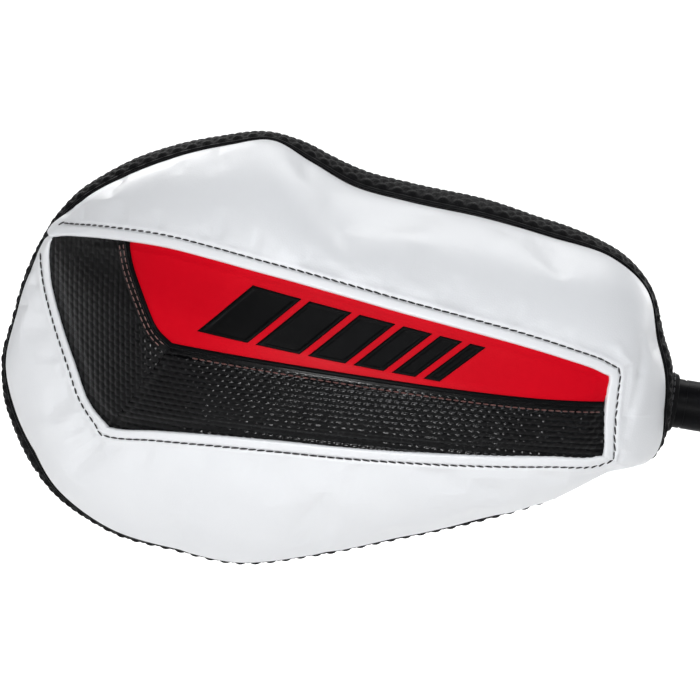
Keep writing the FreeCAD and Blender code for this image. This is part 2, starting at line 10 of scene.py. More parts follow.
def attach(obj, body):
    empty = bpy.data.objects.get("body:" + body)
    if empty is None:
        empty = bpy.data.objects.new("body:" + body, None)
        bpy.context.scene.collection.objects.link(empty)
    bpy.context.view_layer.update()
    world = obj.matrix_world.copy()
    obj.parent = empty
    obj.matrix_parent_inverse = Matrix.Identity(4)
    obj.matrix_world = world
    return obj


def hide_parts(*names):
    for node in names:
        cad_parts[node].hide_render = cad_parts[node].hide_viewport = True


# Looks of a padded handlebar hand guard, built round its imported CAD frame.
# Shapes are worked out in millimetres in the frame's axes and turned into metres when a mesh is made.

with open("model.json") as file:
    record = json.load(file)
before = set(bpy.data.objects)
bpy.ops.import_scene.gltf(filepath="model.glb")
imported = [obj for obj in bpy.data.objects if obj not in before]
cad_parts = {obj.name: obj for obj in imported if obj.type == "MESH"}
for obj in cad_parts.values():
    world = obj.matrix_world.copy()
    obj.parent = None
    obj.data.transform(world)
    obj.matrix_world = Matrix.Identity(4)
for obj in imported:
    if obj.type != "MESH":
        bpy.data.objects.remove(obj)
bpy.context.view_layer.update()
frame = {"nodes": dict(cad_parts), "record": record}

MM = 0.001

# ---- driving dimensions -------------------------------------------------------------------------
# These follow the CAD source, apart from some ribs, which are up to about 5 mm nearer to the real outline.
APEX_X = -175.0
APEX_Y = -98.0
FRONT_SWEEP = 60.0
FRONT_HALF = 155.0
SEAM_Y = -35.0
OPENING_Y = 30.0
OPENING_INSET = 14.0
INBOARD_INSET = 4.0
COVER = 1.2
GUSSET = 3.0
RIDGE_HEIGHT = 9.0
BEVEL = 7.0
TOP_BEVEL = 4.0
SLIT = 1.2

# One row per rib: frame x and z, seam x and z, and the gusset's bulge.
RIBS = np.array([
    (-77.6, 2.0, -48.0, 1.0, 3.5),
    (-78.3, 12.0, -50.5, 17.0, 3.5),
    (-78.4, 16.6, -56.5, 32.0, 2.5),
    (-82.8, 19.7, -64.8, 52.5, 1.0),
    (-100.0, 23.6, -83.0, 64.5, 1.8),
    (-120.0, 26.8, -112.0, 69.0, 5.0),
    (-145.0, 29.7, -143.0, 72.5, 6.0),
    (-172.0, 32.5, -174.0, 74.0, 6.0),
    (-195.0, 35.2, -199.0, 76.5, 6.0),
    (-216.0, 37.4, -219.0, 84.0, 4.5),
    (-235.0, 39.0, -237.5, 90.5, 1.5),
    (-254.0, 40.5, -256.0, 85.5, 2.5),
    (-274.0, 41.2, -278.0, 76.5, 3.5),
    (-294.0, 39.6, -297.0, 65.5, 4.0),
    (-311.0, 36.9, -314.0, 52.5, 3.5),
    (-323.0, 33.6, -325.0, 39.0, 2.0),
    (-325.9, 30.2, -329.5, 29.0, 1.5),
    (-323.5, 16.0, -334.5, 13.0, 1.0),
    (-315.5, -1.0, -337.5, -7.0, 0.5),
    (-306.0, -17.0, -338.5, -27.0, 2.0),
    (-297.0, -31.5, -331.0, -47.0, 5.5),
    (-288.6, -38.3, -320.0, -63.5, 6.5),
    (-284.4, -40.0, -306.5, -79.0, 5.5),
    (-264.0, -36.5, -281.0, -92.5, 3.0),
    (-240.0, -33.2, -250.0, -97.0, 1.5),
    (-212.0, -30.5, -222.0, -98.0, 1.0),
    (-182.0, -28.3, -190.0, -89.0, 1.0),
    (-154.0, -25.6, -157.0, -76.5, 1.0),
    (-126.0, -22.5, -124.0, -63.0, 1.0),
    (-98.0, -19.1, -94.0, -48.5, 1.0),
    (-78.0, -17.0, -67.5, -29.5, 0.4),
    (-75.5, -14.4, -51.0, -21.8, 0.2),
    (-76.5, -5.5, -47.2, -14.0, 1.2),
])
COUNT = len(RIBS)
FRAME_RIBS = RIBS[:, 0:2]
SEAM_RIBS = RIBS[:, 2:4]
TOP_RIGHT = 2.3
RIDGE_TOP = 12.87
TOP_LEFT = 15.5
BOTTOM_LEFT = 21.5
BOTTOM_RIGHT = 30.6
# The frame's four corners: rib number and how far the corner is drawn out in x and z.
CORNERS = (
    (TOP_RIGHT, (0.7, 0.7)),
    (TOP_LEFT, (-0.5, 0.7)),
    (BOTTOM_LEFT, (0.3, -0.9)),
    (BOTTOM_RIGHT, (0.9, -0.7)),
)
CORNER_REACH = 0.8
RIDGE = np.array([
    (-290.6, 39.2), (-287.0, 30.5), (-279.5, 18.5), (-271.5, 7.0), (-264.0, 2.0),
    (-235.0, 2.6), (-190.0, 3.2), (-145.0, 3.6), (-108.0, 4.4), (-79.3, 6.1),
])
RIDGE_CORNER = 4


# ---- curves and surfaces ------------------------------------------------------------------------
def smooth(share):
    """Soft step from 0 to 1."""
    share = np.clip(share, 0.0, 1.0)
    return share * share * (3 - 2 * share)


def span_points(before, start, end, after, u):
    """Points on centripetal Catmull-Rom spans, one per row."""
    step_in = np.sqrt(np.linalg.norm(start - before, axis=-1, keepdims=True))
    step = np.sqrt(np.linalg.norm(end - start, axis=-1, keepdims=True))
    step_out = np.sqrt(np.linalg.norm(after - end, axis=-1, keepdims=True))
    leave = (start - before) * step / step_in - (end - before) * step / (step_in + step) + (end - start)
    arrive = (end - start) - (after - start) * step / (step + step_out) + (after - end) * step / step_out
    u = u[..., None]
    return (
        start * (2 * u**3 - 3 * u**2 + 1)
        + leave * (u**3 - 2 * u**2 + u)
        + end * (3 * u**2 - 2 * u**3)
        + arrive * (u**3 - u**2)
    )


def run_of(path):
    """Distance walked along a polyline up to each of its points."""
    return np.concatenate([[0.0], np.cumsum(np.linalg.norm(np.diff(path, axis=0), axis=1))])


def ring_points(points, t):
    """Points at rib numbers t on the closed curve through points."""
    t = np.asarray(t, float)
    first = np.floor(t).astype(int)
    near = [points[(first + k - 1) % len(points)] for k in range(4)]
    return span_points(*near, t - first)


def open_curve(points, per_span):
    """Dense polyline along the smooth open curve through points."""
    ends = np.vstack([2 * points[0] - points[1], points, 2 * points[-1] - points[-2]])
    t = np.linspace(0, len(points) - 1, (len(points) - 1) * per_span + 1)
    first = np.minimum(np.floor(t).astype(int), len(points) - 2)
    return span_points(*[ends[first + k] for k in range(4)], t - first)


def frame_points(t):
    """The edge of the insert: a smooth run with a crisp point at each of its four corners."""
    t = np.asarray(t, float)
    points = ring_points(FRAME_RIBS, t)
    for corner, pull in CORNERS:
        away = np.abs((t - corner + COUNT / 2) % COUNT - COUNT / 2)
        points = points + (np.clip(1 - away / CORNER_REACH, 0, 1) ** 2)[..., None] * np.array(pull)
    return points


NORMAL_SPAN = 0.55        # ribs each way over which a curve's direction is taken, so that it turns softly


def outward(points, t):
    """Unit normals of a closed curve, pointing away from the guard's middle."""
    along = ring_points(points, t + NORMAL_SPAN) - ring_points(points, t - NORMAL_SPAN)
    normal = np.stack([along[..., 1], -along[..., 0]], axis=-1)
    return normal / np.linalg.norm(normal, axis=-1, keepdims=True)


def front_y(x):
    """Base curve of the front, seen from above."""
    return APEX_Y + FRONT_SWEEP * (np.abs(x - APEX_X) / FRONT_HALF) ** 3


# How a cover runs from the frame (0) to the seam (1): across, and back in y, as Bezier values.
RUN_ACROSS = (0.0, 0.42, 0.93, 1.0)
RUN_BACK = (0.0, 0.10, 0.55, 1.0)


def bezier(share, a, b, c, d):
    """Value at a share of a cubic Bezier curve."""
    rest = 1 - share
    return a * rest**3 + 3 * b * rest**2 * share + 3 * c * rest * share**2 + d * share**3


def cover_points(t, v):
    """Outer face of the white cover: v = 0 on the frame round the insert, v = 1 on the seam."""
    start = frame_points(t)
    end = ring_points(SEAM_RIBS, t)
    across = start + (end - start) * bezier(v, *RUN_ACROSS)[..., None]
    start_y = front_y(start[..., 0])
    y = start_y + (SEAM_Y - start_y) * bezier(v, *RUN_BACK)
    return np.stack([across[..., 0], y, across[..., 1]], axis=-1)


def bulge_at(t):
    """The gussets' bulge between the ribs."""
    first = np.floor(t).astype(int)
    share = smooth(t - first)
    return RIBS[first % COUNT, 4] * (1 - share) + RIBS[(first + 1) % COUNT, 4] * share


def gusset_points(t, w):
    """Outer face of the gussets: w = 0 on the seam, w = 1 on the rim of the open back."""
    seam = ring_points(SEAM_RIBS, t)
    inset = INBOARD_INSET + (OPENING_INSET - INBOARD_INSET) * smooth((-60.0 - seam[..., 0]) / 60.0)
    swell = bulge_at(t) * np.sin(math.pi * np.clip(w, 0, 1) ** 0.7)
    shift = outward(SEAM_RIBS, t) * (swell - inset * w * w)[..., None]
    y = SEAM_Y + (OPENING_Y - SEAM_Y) * w
    return np.stack([seam[..., 0] + shift[..., 0], y, seam[..., 1] + shift[..., 1]], axis=-1)


def surface_normals(surface, t, v):
    """Unit normals of a surface of (t, v), pointing out of the guard."""
    small = 0.01
    along = surface(t + small, v) - surface(t - small, v)
    across = surface(t, np.minimum(1.0, v + small)) - surface(t, np.maximum(0.0, v - small))
    normal = np.cross(across, along)
    return normal / np.linalg.norm(normal, axis=-1, keepdims=True)


def raised(surface, t, v, height):
    """Points height millimetres outside a surface."""
    return surface(t, v) + surface_normals(surface, t, v) * np.asarray(height)[..., None]


def distance_to(path, x, z):
    """Shortest distances from points of the XZ plane to a polyline."""
    best = np.full(np.shape(x), 1e9)
    for (ax, az), (bx, bz) in zip(path[:-1], path[1:]):
        run_x = bx - ax
        run_z = bz - az
        share = np.clip(((x - ax) * run_x + (z - az) * run_z) / (run_x**2 + run_z**2), 0, 1)
        best = np.minimum(best, np.hypot(x - ax - share * run_x, z - az - share * run_z))
    return best


FRAME_PATH = frame_points(np.linspace(0, COUNT, 10 * COUNT + 1))
# The insert's top, outboard, bottom and inboard edges: first and last rib number, and points.
EDGE_SPANS = (
    (TOP_RIGHT, TOP_LEFT, 60),
    (TOP_LEFT, BOTTOM_LEFT, 40),
    (BOTTOM_LEFT, BOTTOM_RIGHT, 50),
    (BOTTOM_RIGHT, COUNT + TOP_RIGHT, 30),
)
EDGE_PATHS = [frame_points(np.linspace(*span)) for span in EDGE_SPANS]
RIDGE_STEPS = 6
RIDGE_LEG = open_curve(RIDGE[:RIDGE_CORNER + 1], RIDGE_STEPS)
RIDGE_PATH = np.vstack([RIDGE_LEG, open_curve(RIDGE[RIDGE_CORNER:], RIDGE_STEPS)[1:]])
RIDGE_TURN = RIDGE_CORNER * RIDGE_STEPS        # the path's point at the corner


def insert_height(x, z):
    """How far the insert stands forward of the front face's base curve; it falls softly to each side."""
    ridge_distance = distance_to(RIDGE_PATH, x, z)
    top, *others = [distance_to(path, x, z) for path in EDGE_PATHS]
    edge = (top**-4.0 + others[0]**-4.0 + others[1]**-4.0 + others[2]**-4.0 + 1e-9) ** -0.25
    share = ridge_distance / np.maximum(0.001, ridge_distance + edge)
    coloured = z > np.interp(x, RIDGE_PATH[:, 0], RIDGE_PATH[:, 1])
    fall = np.where(coloured, 0.6, 1.0)
    lower_ends = (0.3 + 0.7 * smooth((-80.0 - x) / 120.0)) * (0.2 + 0.8 * smooth(top / 28.0))
    height = RIDGE_HEIGHT * (1 - fall * share * share) * lower_ends * smooth(top / TOP_BEVEL)
    for side in others:
        height = height * smooth(side / BEVEL)
    return height


def wobble(a, b, size, seed):
    """Smooth uneven waves between -1 and 1, about size millimetres across; the same at every run."""
    total = 0.0
    for k in range(4):
        angle = seed * 1.7 + k * 2.4
        pitch = 2 * math.pi / (size * (0.8 + 0.35 * k))
        total = total + np.sin((a * math.cos(angle) + b * math.sin(angle)) * pitch + seed * 3.1 + k * 1.9)
    return total / 4


# ---- meshes -------------------------------------------------------------------------------------
SHARP = math.radians(52)


def make_mesh(name, points, faces, material):
    """Object from points in millimetres and faces of point numbers."""
    mesh = bpy.data.meshes.new(name)
    mesh.from_pydata((np.asarray(points) * MM).tolist(), [], [list(face) for face in faces])
    mesh.update()
    mesh.polygons.foreach_set("use_smooth", [True] * len(mesh.polygons))
    mesh.set_sharp_from_angle(angle=SHARP)
    mesh.materials.append(material)
    piece = bpy.data.objects.new(name, mesh)
    bpy.context.scene.collection.objects.link(piece)
    return piece


def grid_faces(rows, columns, first=0, flip=False):
    """Quads of a grid of points stored row by row."""
    r, c = np.meshgrid(np.arange(rows - 1), np.arange(columns - 1), indexing="ij")
    a = (first + r * columns + c).ravel()
    quads = np.stack([a, a + 1, a + columns + 1, a + columns], axis=-1)
    return quads[:, ::-1] if flip else quads


def shell(outer, inner, keep=None):
    """Points and faces of a closed shell between two grids; keep says which quads of the grid it has."""
    rows, columns = outer.shape[:2]
    size = rows * columns
    points = np.vstack([outer.reshape(-1, 3), inner.reshape(-1, 3)])
    quads = grid_faces(rows, columns)
    if keep is not None:
        quads = quads[keep.ravel()]
    edges = np.concatenate([quads[:, [k, (k + 1) % 4]] for k in range(4)])
    forward = edges[:, 0] * size + edges[:, 1]
    backward = edges[:, 1] * size + edges[:, 0]
    border = edges[~np.isin(forward, backward)]
    side = np.stack([border[:, 1], border[:, 0], border[:, 0] + size, border[:, 1] + size], axis=-1)
    faces = np.vstack([quads, quads[:, ::-1] + size, side])
    r = rows // 2
    c = columns // 2
    facing = np.cross(outer[r, c + 1] - outer[r, c], outer[r + 1, c] - outer[r, c])
    if np.dot(facing, outer[r, c] - inner[r, c]) < 0:
        faces = faces[:, ::-1]
    used = np.unique(faces)
    number = np.zeros(len(points), int)
    number[used] = np.arange(len(used))
    return points[used], number[faces]


def finish_piece(piece, body, nodes=()):
    """Rides on a body; a piece that stands for a CAD node is named after that node, and the node's CAD part
    is hidden.
    """
    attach(piece, body)
    if nodes:
        piece.name = "sewn_" + nodes[0]
        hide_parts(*nodes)
    return piece


def shell_piece(name, outer, inner, slot, body="guard", keep=None):
    """Sheet or pad between two grids, which stands for the CAD node of the same name."""
    points, faces = shell(outer, inner, keep)
    return finish_piece(make_mesh(name, points, faces, LOOKS[slot]), body, (name,))


def solid_piece(name, points, faces, slot):
    """Closed solids of the guard, turned to look outwards; they stand for the CAD node of the same name."""
    piece = make_mesh(name, points, faces, LOOKS[slot])
    work = bmesh.new()
    work.from_mesh(piece.data)
    bmesh.ops.recalc_face_normals(work, faces=work.faces)
    work.to_mesh(piece.data)
    work.free()
    finish_piece(piece, "guard", (name,))


def loft_faces(count, size, closed=False):
    """Faces of count rings of size points each, capped at both ends unless the last ring meets the first."""
    faces = []
    for k in range(count if closed else count - 1):
        a = k * size
        b = ((k + 1) % count) * size
        faces += [(a + s, a + (s + 1) % size, b + (s + 1) % size, b + s) for s in range(size)]
    if not closed:
        faces.append(tuple(range(size))[::-1])
        faces.append(tuple((count - 1) * size + s for s in range(size)))
    return faces


def tube(path, radius, sides, closed=False):
    """Points and faces of a tube along a path; radius is one number or one per point."""
    path = np.asarray(path, float)
    count = len(path)
    radius = np.broadcast_to(np.asarray(radius, float), (count,))
    if closed:
        ahead = np.roll(path, -1, axis=0) - np.roll(path, 1, axis=0)
    else:
        ahead = np.gradient(path, axis=0)
    ahead /= np.linalg.norm(ahead, axis=1, keepdims=True)
    side = np.cross(ahead, (0.0, 1.0, 0.0))
    weak = np.linalg.norm(side, axis=1) < 0.2
    side[weak] = np.cross(ahead[weak], (0.0, 0.0, 1.0))
    side /= np.linalg.norm(side, axis=1, keepdims=True)
    up = np.cross(side, ahead)
    angles = np.linspace(0, 2 * math.pi, sides, endpoint=False)
    ring = side[:, None, :] * np.cos(angles)[None, :, None] + up[:, None, :] * np.sin(angles)[None, :, None]
    points = (path[:, None, :] + ring * radius[:, None, None]).reshape(-1, 3)
    return points, loft_faces(count, sides, closed)


def join_parts(parts):
    """One set of points and faces from several."""
    points = []
    faces = []
    first = 0
    for part_points, part_faces in parts:
        points.append(np.asarray(part_points))
        faces += [tuple(int(k) + first for k in face) for face in part_faces]
        first += len(part_points)
    return np.vstack(points), faces


def along_line(path, pitch, start=0.0):
    """Even stations along a polyline: points and directions."""
    reach = run_of(path)
    at = np.arange(start, reach[-1], pitch)

    def place(at):
        return np.stack([np.interp(at, reach, path[:, k]) for k in range(3)], axis=-1)

    points = place(at)
    run = place(at + 0.2) - place(at - 0.2)
    return points, run / np.linalg.norm(run, axis=1, keepdims=True)


# A stitch's shape: share of its length from the middle, and share of its radius.
STITCH_SHAPE = np.array([(-0.5, 0.45), (-0.34, 0.85), (0.0, 1.0), (0.34, 0.85), (0.5, 0.45)])


def stitch_row(path, pitch, length, radius):
    """Separate stitches along a path: short threads with tucked-in ends."""
    points, run = along_line(path, pitch, pitch / 2)
    parts = []
    for point, direction in zip(points, run):
        line = point + direction * (STITCH_SHAPE[:, 0:1] * length)
        parts.append(tube(line, radius * STITCH_SHAPE[:, 1], sides=6))
    return join_parts(parts)


def stitching(name, rows, material, body, pitch, length, radius):
    """Rows of stitches in one thread."""
    points, faces = join_parts([stitch_row(row, pitch, length, radius) for row in rows])
    finish_piece(make_mesh(name, points, faces, material), body)


# ---- materials ----------------------------------------------------------------------------------
DARK_GLOSS = 0.05        # specular level of the black and the coloured materials


class Look:
    """Node-built material: a Principled shader and short helpers to feed it."""

    def __init__(self, name, colour, roughness, metallic=0.0):
        self.material = bpy.data.materials.new(name)
        self.material.use_nodes = True
        self.nodes = self.material.node_tree.nodes
        self.links = self.material.node_tree.links
        self.shader = self.nodes["Principled BSDF"]
        self.shader.inputs["Base Color"].default_value = (*colour, 1.0)
        self.shader.inputs["Roughness"].default_value = roughness
        self.shader.inputs["Metallic"].default_value = metallic
        if metallic == 0.0 and min(colour) < 0.2:
            self.shader.inputs["Specular IOR Level"].default_value = DARK_GLOSS
        self.place = self.nodes.new("ShaderNodeTexCoord").outputs["Object"]
        self.normal = None

    def add(self, kind, links=(), **settings):
        """Node with its properties or inputs set, and its inputs linked."""
        node = self.nodes.new(kind)
        for key, value in settings.items():
            if hasattr(node, key):
                setattr(node, key, value)
            else:
                node.inputs[key.replace("_", " ")].default_value = value
        for socket, source in dict(links).items():
            self.links.new(source, node.inputs[socket])
        return node

    def mapped(self, **settings):
        """The object's own coordinates, turned or stretched."""
        return self.add("ShaderNodeMapping", {"Vector": self.place}, **settings).outputs["Vector"]

    def noise(self, size, detail=3.0, stretch=(1, 1, 1)):
        """Noise whose grains are about size millimetres across."""
        place = self.mapped(Scale=stretch)
        node = self.add("ShaderNodeTexNoise", {"Vector": place}, Scale=1 / (size * MM), Detail=detail)
        return node.outputs["Fac"]

    def cells(self, size, smoothness=0.4):
        """Rounded cells about size millimetres across."""
        scale = 1 / (size * MM)
        node = self.add("ShaderNodeTexVoronoi", {"Vector": self.mapped()}, feature="SMOOTH_F1", Scale=scale)
        node.inputs["Smoothness"].default_value = smoothness
        return node.outputs["Distance"]

    def waves(self, size, turn, distortion=0.0):
        """Parallel waves size millimetres apart."""
        place = self.mapped(Rotation=turn)
        scale = 2 * math.pi / (20 * size * MM)
        node = self.add("ShaderNodeTexWave", {"Vector": place}, Scale=scale, Distortion=distortion)
        return node.outputs["Fac"]

    def span(self, source, low, high):
        """A 0 to 1 value spread from low to high."""
        return self.add("ShaderNodeMapRange", {"Value": source}, To_Min=low, To_Max=high).outputs["Result"]

    def ramp(self, source, low, high):
        """The share of a value between two thresholds."""
        node = self.add("ShaderNodeMapRange", {"Value": source}, From_Min=low, From_Max=high)
        return node.outputs["Result"]

    def colours(self, source, low, high):
        """Colour that goes from low to high with the source."""
        node = self.add("ShaderNodeMix", {"Factor": source}, data_type="RGBA")
        node.inputs["A"].default_value = (*low, 1.0)
        node.inputs["B"].default_value = (*high, 1.0)
        self.links.new(node.outputs["Result"], self.shader.inputs["Base Color"])
        return self

    def mottle(self, source, colour, dark, light):
        """Uneven tone: a colour times dark where the source is low and times light where it is high."""
        return self.colours(source, tuple(c * dark for c in colour), tuple(c * light for c in colour))

    def multiply(self, a, b):
        node = self.add("ShaderNodeMath", operation="MULTIPLY")
        self.links.new(a, node.inputs[0])
        self.links.new(b, node.inputs[1])
        return node.outputs[0]

    def roughness(self, source, low, high):
        """Roughness that goes from low to high with the source."""
        self.links.new(self.span(source, low, high), self.shader.inputs["Roughness"])
        return self

    def bump(self, source, depth):
        """Relief depth millimetres high; calls pile up."""
        node = self.add("ShaderNodeBump", {"Height": source}, Distance=depth * MM)
        if self.normal is not None:
            self.links.new(self.normal, node.inputs["Normal"])
        self.normal = node.outputs["Normal"]
        self.links.new(self.normal, self.shader.inputs["Normal"])
        return self

    def sheen(self, weight, roughness=0.5):
        """Soft sheen of fibres."""
        self.shader.inputs["Sheen Weight"].default_value = weight
        self.shader.inputs["Sheen Roughness"].default_value = roughness
        return self


def coated_vinyl(name, dark, light, roughness):
    """Smooth coated vinyl: a faint leather grain, soft patches of tone and uneven polish."""
    look = Look(name, light, roughness)
    look.colours(look.noise(38.0, 4.0), dark, light)
    look.roughness(look.noise(9.0, 5.0), roughness - 0.05, roughness + 0.07)
    look.bump(look.cells(0.75), 0.035)
    look.bump(look.noise(0.35, 2.0), 0.012)
    look.bump(look.noise(16.0, 2.0), 0.25)
    return look.material


def gloss_vinyl(name):
    """Shiny black vinyl; its embossed cells are modelled, so this adds only the fine skin."""
    look = Look(name, (0.004, 0.004, 0.005), 0.27)
    look.shader.inputs["Specular IOR Level"].default_value = 0.20
    look.colours(look.noise(22.0, 3.0), (0.0005, 0.0005, 0.0006), (0.0020, 0.0021, 0.0026))
    look.roughness(look.noise(7.0, 4.0), 0.14, 0.28)
    look.bump(look.noise(0.5, 3.0), 0.01)
    return look.material


def embossed_cloth(name, colour, roughness):
    """Foam-backed cloth: a fine knit over modelled diamonds."""
    look = Look(name, colour, roughness)
    look.mottle(look.noise(12.0, 4.0), colour, 0.55, 1.35)
    look.roughness(look.noise(5.0, 3.0), roughness - 0.08, roughness + 0.08)
    knit = look.multiply(look.waves(0.9, (0, 0.7, 0.4)), look.waves(0.9, (0.6, -0.7, -0.5)))
    look.bump(knit, 0.10)
    look.bump(look.noise(0.4, 2.0), 0.03)
    return look.sheen(0.02).material


def woven_tape(name, colour, pitch, depth):
    """Narrow woven tape with a twill line."""
    look = Look(name, colour, 0.72)
    look.mottle(look.noise(3.0, 4.0), colour, 0.6, 1.6)
    look.bump(look.waves(pitch, (0, 0.8, 0.6), 1.5), depth)
    look.bump(look.waves(pitch * 0.7, (0.9, 0, -0.8), 1.5), depth * 0.7)
    look.bump(look.noise(0.25, 2.0), 0.03)
    look.roughness(look.noise(4.0, 3.0), 0.62, 0.82)
    return look.sheen(0.25).material


def brushed_knit(name, colour):
    """Brushed lining, felted and a little wrinkled."""
    look = Look(name, colour, 0.85)
    look.mottle(look.noise(1.1, 5.0), colour, 0.55, 1.5)
    look.bump(look.noise(0.5, 4.0, (1.0, 1.0, 0.45)), 0.16)
    look.bump(look.noise(24.0, 2.0), 0.5)
    look.roughness(look.noise(8.0, 3.0), 0.78, 0.92)
    return look.sheen(0.45, 0.4).material


def loop_pile(name, colour):
    """Loop side of hook-and-loop tape."""
    look = Look(name, colour, 0.9)
    look.mottle(look.noise(0.8, 6.0), colour, 0.4, 1.9)
    look.bump(look.cells(0.7, 0.2), 0.35)
    look.bump(look.noise(0.3, 4.0), 0.12)
    return look.sheen(0.5, 0.35).material


def moulded(name, colour, roughness, grain, depth):
    """Moulded plastic or rubber with a fine spark-eroded grain."""
    look = Look(name, colour, roughness)
    look.mottle(look.noise(18.0, 3.0), colour, 0.75, 1.25)
    look.roughness(look.noise(6.0, 4.0), roughness - 0.07, roughness + 0.09)
    look.bump(look.noise(grain, 3.0), depth)
    return look.material


def powder_coat(name, colour, roughness):
    """Baked powder coat: orange peel, faint scuffs and slightly rubbed tone."""
    look = Look(name, colour, roughness)
    scuffs = look.ramp(look.noise(5.0, 7.0, (0.25, 1.0, 1.0)), 0.56, 0.72)
    look.colours(scuffs, colour, tuple(c * 2.2 for c in colour))
    look.roughness(look.noise(4.0, 5.0), roughness - 0.08, roughness + 0.12)
    look.bump(look.noise(0.9, 2.0), 0.035)
    return look.material


def anodised(name, colour):
    """Satin anodised metal."""
    look = Look(name, colour, 0.42, 0.85)
    look.mottle(look.noise(9.0, 4.0), colour, 0.8, 1.3)
    look.roughness(look.noise(1.6, 5.0), 0.34, 0.52)
    look.bump(look.noise(0.25, 3.0), 0.015)
    return look.material


def turned_steel(name, colour):
    """Bare steel with fine turning marks."""
    look = Look(name, colour, 0.3, 1.0)
    look.mottle(look.noise(3.0, 4.0), colour, 0.8, 1.1)
    look.roughness(look.noise(0.8, 4.0, (1.0, 0.2, 1.0)), 0.2, 0.42)
    look.bump(look.waves(0.4, (0, 0, math.pi / 2)), 0.008)
    return look.material


def closed_foam(name, colour):
    """Closed-cell foam with small pores."""
    look = Look(name, colour, 0.92)
    look.colours(look.cells(1.0, 0.1), tuple(c * 0.45 for c in colour), colour)
    look.bump(look.cells(0.8, 0.15), 0.25)
    return look.material


def thread(name, colour):
    """Twisted sewing thread."""
    look = Look(name, colour, 0.55)
    look.mottle(look.noise(1.2, 3.0), colour, 0.6, 1.4)
    look.bump(look.waves(0.45, (0.5, 0.9, 0.3)), 0.05)
    return look.sheen(0.3).material


BLACK = (0.006, 0.006, 0.0065)
LOOKS = {
    "bar_black": powder_coat("bar_powder_coat", (0.0025, 0.0025, 0.003), 0.38),
    "plug_plastic": moulded("end_plug_plastic", (0.020, 0.020, 0.021), 0.5, 0.5, 0.03),
    "clamp_metal": anodised("clamp_anodised", (0.055, 0.055, 0.060)),
    "arm_steel": powder_coat("arm_powder_coat", (0.030, 0.030, 0.032), 0.5),
    "screw_steel": turned_steel("screw_steel", (0.52, 0.52, 0.54)),
    "stiffener_plastic": moulded("stiffener_polyethylene", (0.03, 0.03, 0.03), 0.55, 0.8, 0.04),
    "foam": closed_foam("closed_cell_foam", (0.10, 0.10, 0.11)),
    "white_vinyl": coated_vinyl("white_vinyl", (0.74, 0.75, 0.77), (0.80, 0.81, 0.825), 0.40),
    "red_vinyl": coated_vinyl("red_vinyl", (0.50, 0.001, 0.008), (0.62, 0.002, 0.012), 0.40),
    "textured_vinyl": gloss_vinyl("textured_black_vinyl"),
    "black_piping": moulded("black_piping_vinyl", (0.004, 0.004, 0.0045), 0.34, 0.4, 0.02),
    "emblem_rubber": moulded("emblem_rubber", (0.003, 0.003, 0.0032), 0.42, 0.35, 0.03),
    "embossed_fabric": embossed_cloth("embossed_black_cloth", BLACK, 0.55),
    "lining_fabric": brushed_knit("lining_knit", (0.035, 0.035, 0.040)),
    "binding_tape": woven_tape("binding_tape", BLACK, 0.9, 0.12),
    "cuff_fabric": embossed_cloth("cuff_neoprene", BLACK, 0.6),
    "tab_webbing": woven_tape("tab_webbing", (0.014, 0.014, 0.015), 1.6, 0.28),
    "loop_tape": loop_pile("loop_pile", (0.020, 0.020, 0.022)),
    "hook_tape": moulded("hook_nylon", (0.022, 0.022, 0.024), 0.45, 0.5, 0.03),
}
BLACK_THREAD = thread("black_thread", (0.020, 0.018, 0.020))
RED_THREAD = thread("dark_red_thread", (0.12, 0.050, 0.045))
PALE_THREAD = thread("pale_red_thread", (0.22, 0.11, 0.10))
GREY_THREAD = thread("charcoal_thread", (0.05, 0.05, 0.055))


def finish_hard_parts():
    """The hard CAD parts keep their shape and take their material here."""
    slots = {row["node"]: row["material_slot"] for row in frame["record"]["subparts"]}
    for name, node in frame["nodes"].items():
        material = LOOKS[slots[name]]
        if not node.material_slots:
            node.data.materials.append(material)
        for material_slot in node.material_slots:
            material_slot.material = material


# ---- camera, light and floor --------------------------------------------------------------------
CAMERA_PLACE = (-189.20, -1485.50, 208.07)
CAMERA_DROP = math.radians(8.0)
CAMERA_ROLL = math.radians(9.5)
CAMERA_LENS = 171.3
FLOOR_Z = -300.0


def place_camera():
    """Camera level with the guard's front, dropped and rolled as the guard is seen."""
    level = Vector((1.0, 0.0, 0.0))
    rise = Vector((0.0, math.sin(CAMERA_DROP), math.cos(CAMERA_DROP)))
    right = level * math.cos(CAMERA_ROLL) + rise * math.sin(CAMERA_ROLL)
    up = rise * math.cos(CAMERA_ROLL) - level * math.sin(CAMERA_ROLL)
    turn = Matrix((right, up, right.cross(up))).transposed().to_4x4()
    data = bpy.data.cameras.new("camera")
    data.lens = CAMERA_LENS
    data.sensor_width = 36.0
    data.clip_start = 0.05
    data.clip_end = 20.0
    camera = bpy.data.objects.new("camera", data)
    camera.matrix_world = Matrix.Translation(Vector(CAMERA_PLACE) * MM) @ turn
    bpy.context.scene.collection.objects.link(camera)
    bpy.context.scene.camera = camera


def area_light(name, place, target, size, power, colour, spread):
    """Soft rectangular light at place, in metres, aimed at target."""
    data = bpy.data.lights.new(name, "AREA")
    data.shape = "RECTANGLE"
    data.size, data.size_y = size
    data.energy = power
    data.color = colour
    data.spread = math.radians(spread)
    lamp = bpy.data.objects.new(name, data)
    lamp.location = place
    lamp.rotation_euler = (Vector(target) - Vector(place)).to_track_quat("-Z", "Y").to_euler()
    bpy.context.scene.collection.objects.link(lamp)


MIDDLE = (-0.19, -0.05, 0.0)
COOL = (0.93, 0.96, 1.0)
BLUE = (0.82, 0.90, 1.0)
WHITE = (1.0, 1.0, 1.0)
UNDER_REAR = (-0.19, 1.6, -0.25)
UNDER_FRONT = (-0.19, -2.5, -0.25)
